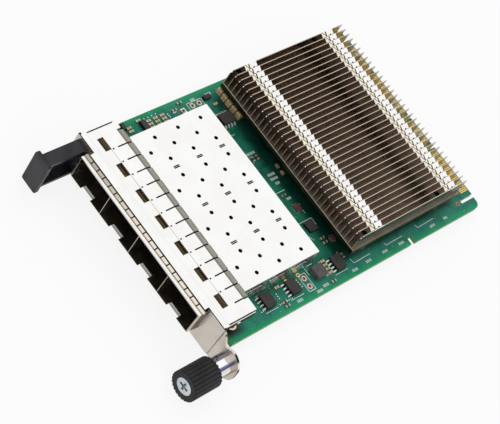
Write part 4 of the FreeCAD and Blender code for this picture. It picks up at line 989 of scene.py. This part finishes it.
@dataclass
class CardFrame:
    """The carried-over nodes: each gets its finish, and the sheet parts get rounded edges."""

    finishes: dict[str, Finish] = field(default_factory=lambda: {
        "circuit_board": MASK, "edge_contacts": GOLD, "cage_cover": CAGE, "cage_dividers": DIVIDER,
        "cage_floor": FLOOR, "cage_spring_collar": COLLAR, "port_connectors": CONNECTOR,
        "face_bracket": BRACKET, "finger_strip": STRIP, "pull_tab": TAB, "pull_tab_rivet": STEEL,
        "thumbscrew_knob": KNOB, "thumbscrew_screw": STEEL, "thumbscrew_sleeve": SLEEVE,
        "thumbscrew_spring": STEEL, "thumbscrew_washer": STEEL, "heatsink_base": SINK_BASE,
        "heatsink_fins": FINS, "heatsink_screws": STEEL, "bracket_screws": SHADOWED_COPPER_SCREW,
        "controller_chip": CHIP, "thermal_pad": PAD, "eight_pin_chips": CHIP, "chip_legs": LEGS,
        "block_capacitors": OLIVE, "tan_capacitors": TAN, "dark_resistors": DARK, "flat_chip": CHIP,
        "power_inductor": FERRITE, "corner_diode": CHIP, "array_part": CHIP, "transistor": CHIP})
    rounding: dict[str, float] = field(default_factory=lambda: {
        "face_bracket": 0.12, "finger_strip": 0.07, "cage_cover": 0.06, "pull_tab": 0.35,
        "thumbscrew_knob": 0.12, "heatsink_base": 0.1, "eight_pin_chips": 0.08, "array_part": 0.1,
        "power_inductor": 0.25, "block_capacitors": 0.1})

    def build(self) -> None:
        """Dresses every node."""
        for name, item in sorted(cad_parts.items()):
            finish = self.finishes[name]
            item.data.materials.clear()
            item.data.materials.append(finish.material())
            if name in self.rounding:
                soften(item, self.rounding[name])
            LOG.info("%s dressed in %s", name, finish.name)


@dataclass
class CircuitBoard:
    """The board's printed marks, lands, rings and the tinned ends of its small parts.

    Places are X and the distance behind the board's front edge.
    """

    ink: float = 0.03
    line: float = 0.17
    land: float = 0.05
    land_half: float = 0.17
    filters: tuple[Point, ...] = ((10.6, 51.0, 1.15), (24.3, 54.9, 0.9))
    filter_height: float = 0.7
    filter_gap: float = 0.2
    filter_land: Flat = (0.2, 0.15)
    header_holes: tuple[Flat, ...] = ((-33.9, 42.6), (-33.9, 45.5), (31.1, 36.2), (34.0, 36.2))
    open_vias: tuple[Flat, ...] = ((29.3, 35.1), (29.3, 30.0))
    corner_via: Flat = (33.9, 107.0)
    via_radii: Flat = (0.36, 0.72)
    header_radii: Flat = (0.5, 0.95)
    hole_shade_radii: Flat = (0.03, 0.46)
    hole_shade_levels: Flat = (-0.3, -0.1)
    tick: Flat = (0.9, 0.28)
    tick_pitch: float = 0.62
    cap_share: float = 0.22
    cap_lip: float = 0.03
    silk_runs: tuple[tuple[Flat, ...], ...] = (
        ((32.6, 55.5), (34.3, 55.8), (34.2, 63.4)), ((33.4, 70.7), (34.3, 70.9), (34.2, 78.6)),
        ((33.15, 86.0), (34.3, 86.4), (34.1, 94.1)),
        ((-35.2, 40.9), (-32.6, 40.9), (-32.6, 47.1), (-35.2, 47.1), (-35.2, 40.9)),
        ((29.6, 34.8), (35.5, 34.8), (35.5, 37.6), (29.6, 37.6), (29.6, 34.8)),
        ((34.9, 16.6), (34.9, 21.8)), ((29.0, 22.3), (29.0, 17.0)), ((35.1, 27.2), (35.1, 32.6)),
        ((34.9, 47.0), (34.9, 52.4)), ((-28.6, 45.6), (-21.8, 45.6)), ((-10.8, 48.4), (-8.4, 48.4)),
        ((3.6, 47.4), (3.6, 51.6)), ((15.4, 47.6), (15.4, 53.2), (18.0, 53.2)),
        ((28.2, 42.2), (28.2, 38.6), (31.0, 38.6)))
    tick_rows: tuple[tuple[float, float, int], ...] = (
        (33.0, 44.0, 4), (35.9, 29.0, 4), (35.6, 40.6, 4), (36.3, 37.4, 4), (35.9, 53.6, 4),
        (35.5, 60.2, 4), (35.4, 68.0, 4), (35.6, 75.6, 4), (35.6, 91.0, 4), (35.4, 98.0, 3),
        (-36.2, 43.4, 3), (-36.0, 49.6, 4), (-29.4, 42.6, 3), (20.6, 44.4, 3), (8.8, 44.0, 3),
        (-14.2, 43.6, 3), (-12.2, 47.9, 6), (-3.2, 49.8, 5), (-1.6, 49.8, 5), (0.2, 50.4, 3),
        (6.2, 50.2, 3))
    land_rows: tuple[tuple[float, float, int, float, float], ...] = (
        (33.9, 15.6, 6, 0.0, 0.8), (34.6, 22.8, 8, 0.0, 0.75), (31.2, 24.0, 3, 0.8, 0.0),
        (30.4, 33.4, 4, 0.85, 0.1), (28.9, 44.6, 5, 0.8, 0.0), (28.9, 52.9, 5, 0.8, 0.0),
        (22.0, 44.6, 4, 0.0, 0.8), (20.6, 47.8, 3, 0.7, 0.4), (7.2, 45.2, 4, 0.0, 0.8),
        (-19.6, 46.4, 4, 0.0, 0.8), (-12.8, 45.4, 4, 0.8, 0.0), (-30.2, 43.8, 4, 0.0, 0.8),
        (-34.6, 32.6, 3, 0.6, 0.1), (-36.2, 24.0, 4, 0.0, 1.6), (-30.2, 20.0, 4, 0.0, 1.4),
        (10.6, 52.4, 4, 0.8, 0.0), (-5.4, 45.8, 4, 0.8, 0.0), (16.4, 45.8, 4, 0.8, 0.0))
    test_points: tuple[Point, ...] = ((-34.7, 35.3, 0.7), (-33.5, 38.5, 0.9))

    def build(self) -> None:
        """Makes every piece that lies on the board."""
        self.square_filters()
        self.silk()
        self.labels()
        self.pads()
        self.rings()
        self.tinned_ends()

    def square_filters(self) -> None:
        """Small square filters between the cage and the heatsink, each in a square of lands."""
        bodies, lands = BoardDraft(), BoardDraft()
        long, short = self.filter_land
        for x, distance, half in self.filters:
            bodies.block(x, distance, half, half, self.filter_height)
            reach = half + self.filter_gap
            for place in (-0.6 * half, 0.0, 0.6 * half):
                for out in (-reach, reach):
                    lands.block(x + out, distance + place, long, short, self.land)
                    lands.block(x + place, distance + out, short, long, self.land)
        bodies.piece("square_filters", RED_BROWN, Slot.RESIN, bevel=0.08)
        lands.piece("filter_lands", DULL_TIN, Slot.TIN)

    def silk(self) -> None:
        """Printed lines: corner marks beside the heatsink, header boxes, and edges beside the chips."""
        draft = BoardDraft()
        for run in self.silk_runs:
            for start, end in zip(run, run[1:]):
                draft.stroke(start, end, self.line, self.ink)
        draft.piece("silk_lines", INK, Slot.BOARD)

    def labels(self) -> None:
        """Rows of plain ticks where the real board has printed names."""
        draft = BoardDraft()
        length, width = self.tick
        for x, distance, count in self.tick_rows:
            for place in range(count):
                start = distance + self.tick_pitch * place
                draft.stroke((x, start), (x + length, start), width, self.ink)
        draft.piece("silk_ticks", INK, Slot.BOARD)

    def pads(self) -> None:
        """Small tinned lands and test points between the parts, as rows that start at X and a distance."""
        draft, half = BoardDraft(), self.land_half
        for x, distance, count, step_x, step_y in self.land_rows:
            for place in range(count):
                draft.block(x + step_x * place, distance + step_y * place, half, half, self.land)
        for x, distance, reach in self.test_points:
            draft.block(x, distance, reach, reach, self.land + 0.01)
        draft.piece("solder_lands", TIN, Slot.TIN, bevel=0.03)

    def rings(self) -> None:
        """Plated rings round the header holes and the open vias, and a dark disc down in each header hole as
        painted shade.
        """
        pink, copper, gold, dark = BoardDraft(), BoardDraft(), BoardDraft(), BoardDraft()
        for hole in self.header_holes:
            pink.ring(hole, self.header_radii)
            dark.ring(hole, self.hole_shade_radii, self.hole_shade_levels, 16)
        for via in self.open_vias:
            gold.ring(via, self.via_radii)
        copper.ring(self.corner_via, self.via_radii)
        pink.piece("header_rings", RING, Slot.COPPER)
        copper.piece("corner_ring", COPPER, Slot.COPPER)
        gold.piece("via_rings", GOLD, Slot.GOLD)
        dark.piece("header_hole_shade", HOLE_SHADE, Slot.COPPER)

    def tinned_ends(self) -> None:
        """Tinned ends on the capacitors and resistors, and the solder under them."""
        small, blocks = MeshDraft(), MeshDraft()
        drafts = {"tan_capacitors": small, "dark_resistors": small, "block_capacitors": blocks}
        for node, draft in drafts.items():
            for low, high in solid_boxes(node):
                self._ends(draft, low, high)
        small.piece("tinned_ends", DULL_TIN, Slot.TIN, bevel=0.05)
        blocks.piece("block_ends", CREAM, Slot.TIN, bevel=0.08)

    def _ends(self, draft: MeshDraft, low: Point, high: Point) -> None:
        """Adds the two ends of one part, along its longer side.

        Args:
            draft: the mesh that they join.
            low, high: the corners of the part's box.
        """
        lip = self.cap_lip
        longer = 0 if high[0] - low[0] > high[1] - low[1] else 1
        cap = (high[longer] - low[longer]) * self.cap_share
        for start, end in ((low[longer] - lip, low[longer] + cap), (high[longer] - cap, high[longer] + lip)):
            first = [low[0] - lip, low[1] - lip, BOARD_TOP]
            last = [part + lip for part in high]
            first[longer], last[longer] = start, end
            draft.box(tuple(first), tuple(last))


@dataclass
class CollarSides:
    """The spring fingers on the collar's two sides, which bulge out until they touch the bracket."""

    centre: float = -0.25
    half: float = 28.8
    bulge: float = 0.29
    sheet: float = 0.12
    low: float = 1.4
    high: float = 10.2
    tall: float = 0.5
    pitch: float = 0.63
    crowned: tuple[Flat, ...] = (
        (-124.2, -0.05), (-123.6, 0.55), (-123.0, 0.88), (-122.4, 1.0), (-121.86, 1.0))

    def build(self) -> None:
        """Makes both stacks of fingers."""
        draft = MeshDraft()
        for side in (-1.0, 1.0):
            outer = [(self.centre + side * (self.half + self.bulge * share), y) for y, share in self.crowned]
            inner = [(x - side * self.sheet, y) for x, y in reversed(outer)]
            for place in range(int((self.high - self.low) / self.pitch)):
                level = self.low + place * self.pitch
                draft.prism(outer + inner, level, level + self.tall)
        draft.piece("collar_side_fingers", SIDE_FINGER, Slot.SPRING)


@dataclass
class ReturnSpring:
    """The coil spring in the knob: round wire with closed ends."""

    reach: float = 2.05
    wire: float = 0.19
    turns: int = 5
    closed: float = 0.7
    steps: int = 24
    sides: int = 10
    travel: float = 5.0

    def _section(self, turn: float, level: float) -> list[Point]:
        """Places the corners round the wire.

        Args:
            turn: the wire's angle about the spring's axis.
            level: Y of its middle.
        Returns:
            The corners.
        """
        corners = []
        for side in range(self.sides):
            angle = math.tau * side / self.sides
            out = self.reach + self.wire * math.cos(angle)
            corners.append((SCREW_AXIS[0] + out * math.cos(turn), level + self.wire * math.sin(angle),
                            SCREW_AXIS[1] + out * math.sin(turn)))
        return corners

    def build(self) -> None:
        """Makes the spring between the ends of the CAD spring."""
        start, end = (corner[1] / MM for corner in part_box("thumbscrew_spring"))
        sections = []
        for place in range(self.turns * self.steps + 1):
            share = (place / self.steps - self.closed) / (self.turns - 2 * self.closed)
            level = start + self.wire + (end - start - 2 * self.wire) * min(max(share, 0.0), 1.0)
            sections.append(self._section(math.tau * place / self.steps, level))
        draft = MeshDraft()
        draft.skin(sections)
        item = draft.piece("return_spring", STEEL, Slot.STEEL)
        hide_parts("thumbscrew_spring")
        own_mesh(item)


# The studio


@dataclass(frozen=True)
class Lamp:
    """A soft square lamp, with its place in metres, turned to the middle of the card."""

    name: str
    place: Point
    size: float
    power: float
    target: Point = (0.0, -0.06, 0.0)

    def build(self) -> None:
        """Makes the lamp."""
        light = bpy.data.lights.new(self.name, "AREA")
        light.size = self.size
        light.energy = self.power
        item = placed(self.name, light)
        item.visible_glossy = False
        item.location = self.place
        item.rotation_euler = (Vector(self.target) - Vector(self.place)).to_track_quat("-Z", "Y").to_euler()


@dataclass
class Studio:
    """Pale floor, plain soft light and the photograph's camera."""

    floor_level: float = CAD_BOX[0][2] / MM - 0.01
    floor_reach: float = 3.0
    floor_colour: Colour = (0.86, 0.86, 0.86)
    floor_white: float = 0.86
    sky_light: float = 0.7
    lamps: tuple[Lamp, ...] = (Lamp("overhead_lamp", (-0.3, 0.3, 0.9), 0.9, 2.6),
                               Lamp("side_lamp", (0.7, -0.5, 0.6), 0.6, 1.2))
    focal_pixels: float = 1751.18
    frame_pixels: float = 500.0
    sensor_width: float = 36.0
    eye: Point = (124.08, -410.68, 393.465)
    right: Point = (0.5896, 0.6969, 0.4083)
    down: Point = (0.7754, -0.3471, -0.5275)
    ahead: Point = (-0.2258, 0.6276, -0.7451)

    def build(self) -> None:
        """Makes the floor, the sky, the lamps and the camera."""
        bpy.context.scene.view_settings.view_transform = "Standard"
        self.floor()
        self.sky()
        for lamp in self.lamps:
            lamp.build()
        self.camera()

    def floor(self) -> None:
        """A white floor that keeps the card's shadow and shows white to the camera and in reflections."""
        reach, level = self.floor_reach, self.floor_level * MM
        mesh = bpy.data.meshes.new("floor")
        mesh.from_pydata([(-reach, -reach, level), (reach, -reach, level), (reach, reach, level),
                          (-reach, reach, level)], [], [(0, 1, 2, 3)])
        item = placed("floor", mesh)
        bench = Bench("studio_floor")
        shadowed = bench.add("ShaderNodeBsdfDiffuse", None, {"Color": (*self.floor_colour, 1.0)})
        white = bench.add("ShaderNodeEmission", None, {"Color": (1.0, 1.0, 1.0, 1.0), "Strength": 1.0})
        share = self._seen(bench) * self.floor_white
        surface = bench.add("ShaderNodeMixShader", None, {0: share, 1: shadowed, 2: white})
        bench.add("ShaderNodeOutputMaterial", None, {"Surface": surface})
        item.data.materials.append(bench.material)

    @staticmethod
    def _seen(bench: Bench) -> Channel:
        """1 for rays from the camera and for mirrored and refracted ones."""
        rays = [bench.add("ShaderNodeLightPath", output=name)
                for name in ("Is Camera Ray", "Is Glossy Ray", "Is Transmission Ray")]
        return rays[0].larger(rays[1]).larger(rays[2])

    def sky(self) -> None:
        """An even sky: white where it is seen, softer where it lights."""
        world = bpy.data.worlds.new("studio_sky")
        bpy.context.scene.world = world
        world.use_nodes = True
        bench = Bench("sky_bench")
        bench.tree = world.node_tree
        bench.tree.nodes.clear()
        light, white = (
            bench.add("ShaderNodeBackground", None, {"Color": (1.0, 1.0, 1.0, 1.0), "Strength": strength})
            for strength in (self.sky_light, 1.0))
        surface = bench.add("ShaderNodeMixShader", None, {0: self._seen(bench), 1: light, 2: white})
        bench.add("ShaderNodeOutputWorld", None, {"Surface": surface})

    def camera(self) -> None:
        """The camera that the photograph was solved for."""
        lens = bpy.data.cameras.new("photo_camera")
        lens.sensor_width = self.sensor_width
        lens.lens = self.focal_pixels / self.frame_pixels * self.sensor_width
        lens.clip_end = 10.0
        item = placed("photo_camera", lens)
        turn = Matrix((self.right, tuple(-part for part in self.down), tuple(-part for part in self.ahead)))
        item.matrix_world = Matrix.Translation(Vector(self.eye) * MM) @ turn.transposed().to_4x4()
        bpy.context.scene.camera = item


def main() -> None:
    """Builds the card's pieces and the studio in order."""
    logging.basicConfig(level=logging.INFO, format="%(name)s: %(message)s")
    CardFrame().build()
    CircuitBoard().build()
    CollarSides().build()
    ReturnSpring().build()
    Studio().build()


if __name__ == "__main__":
    main()
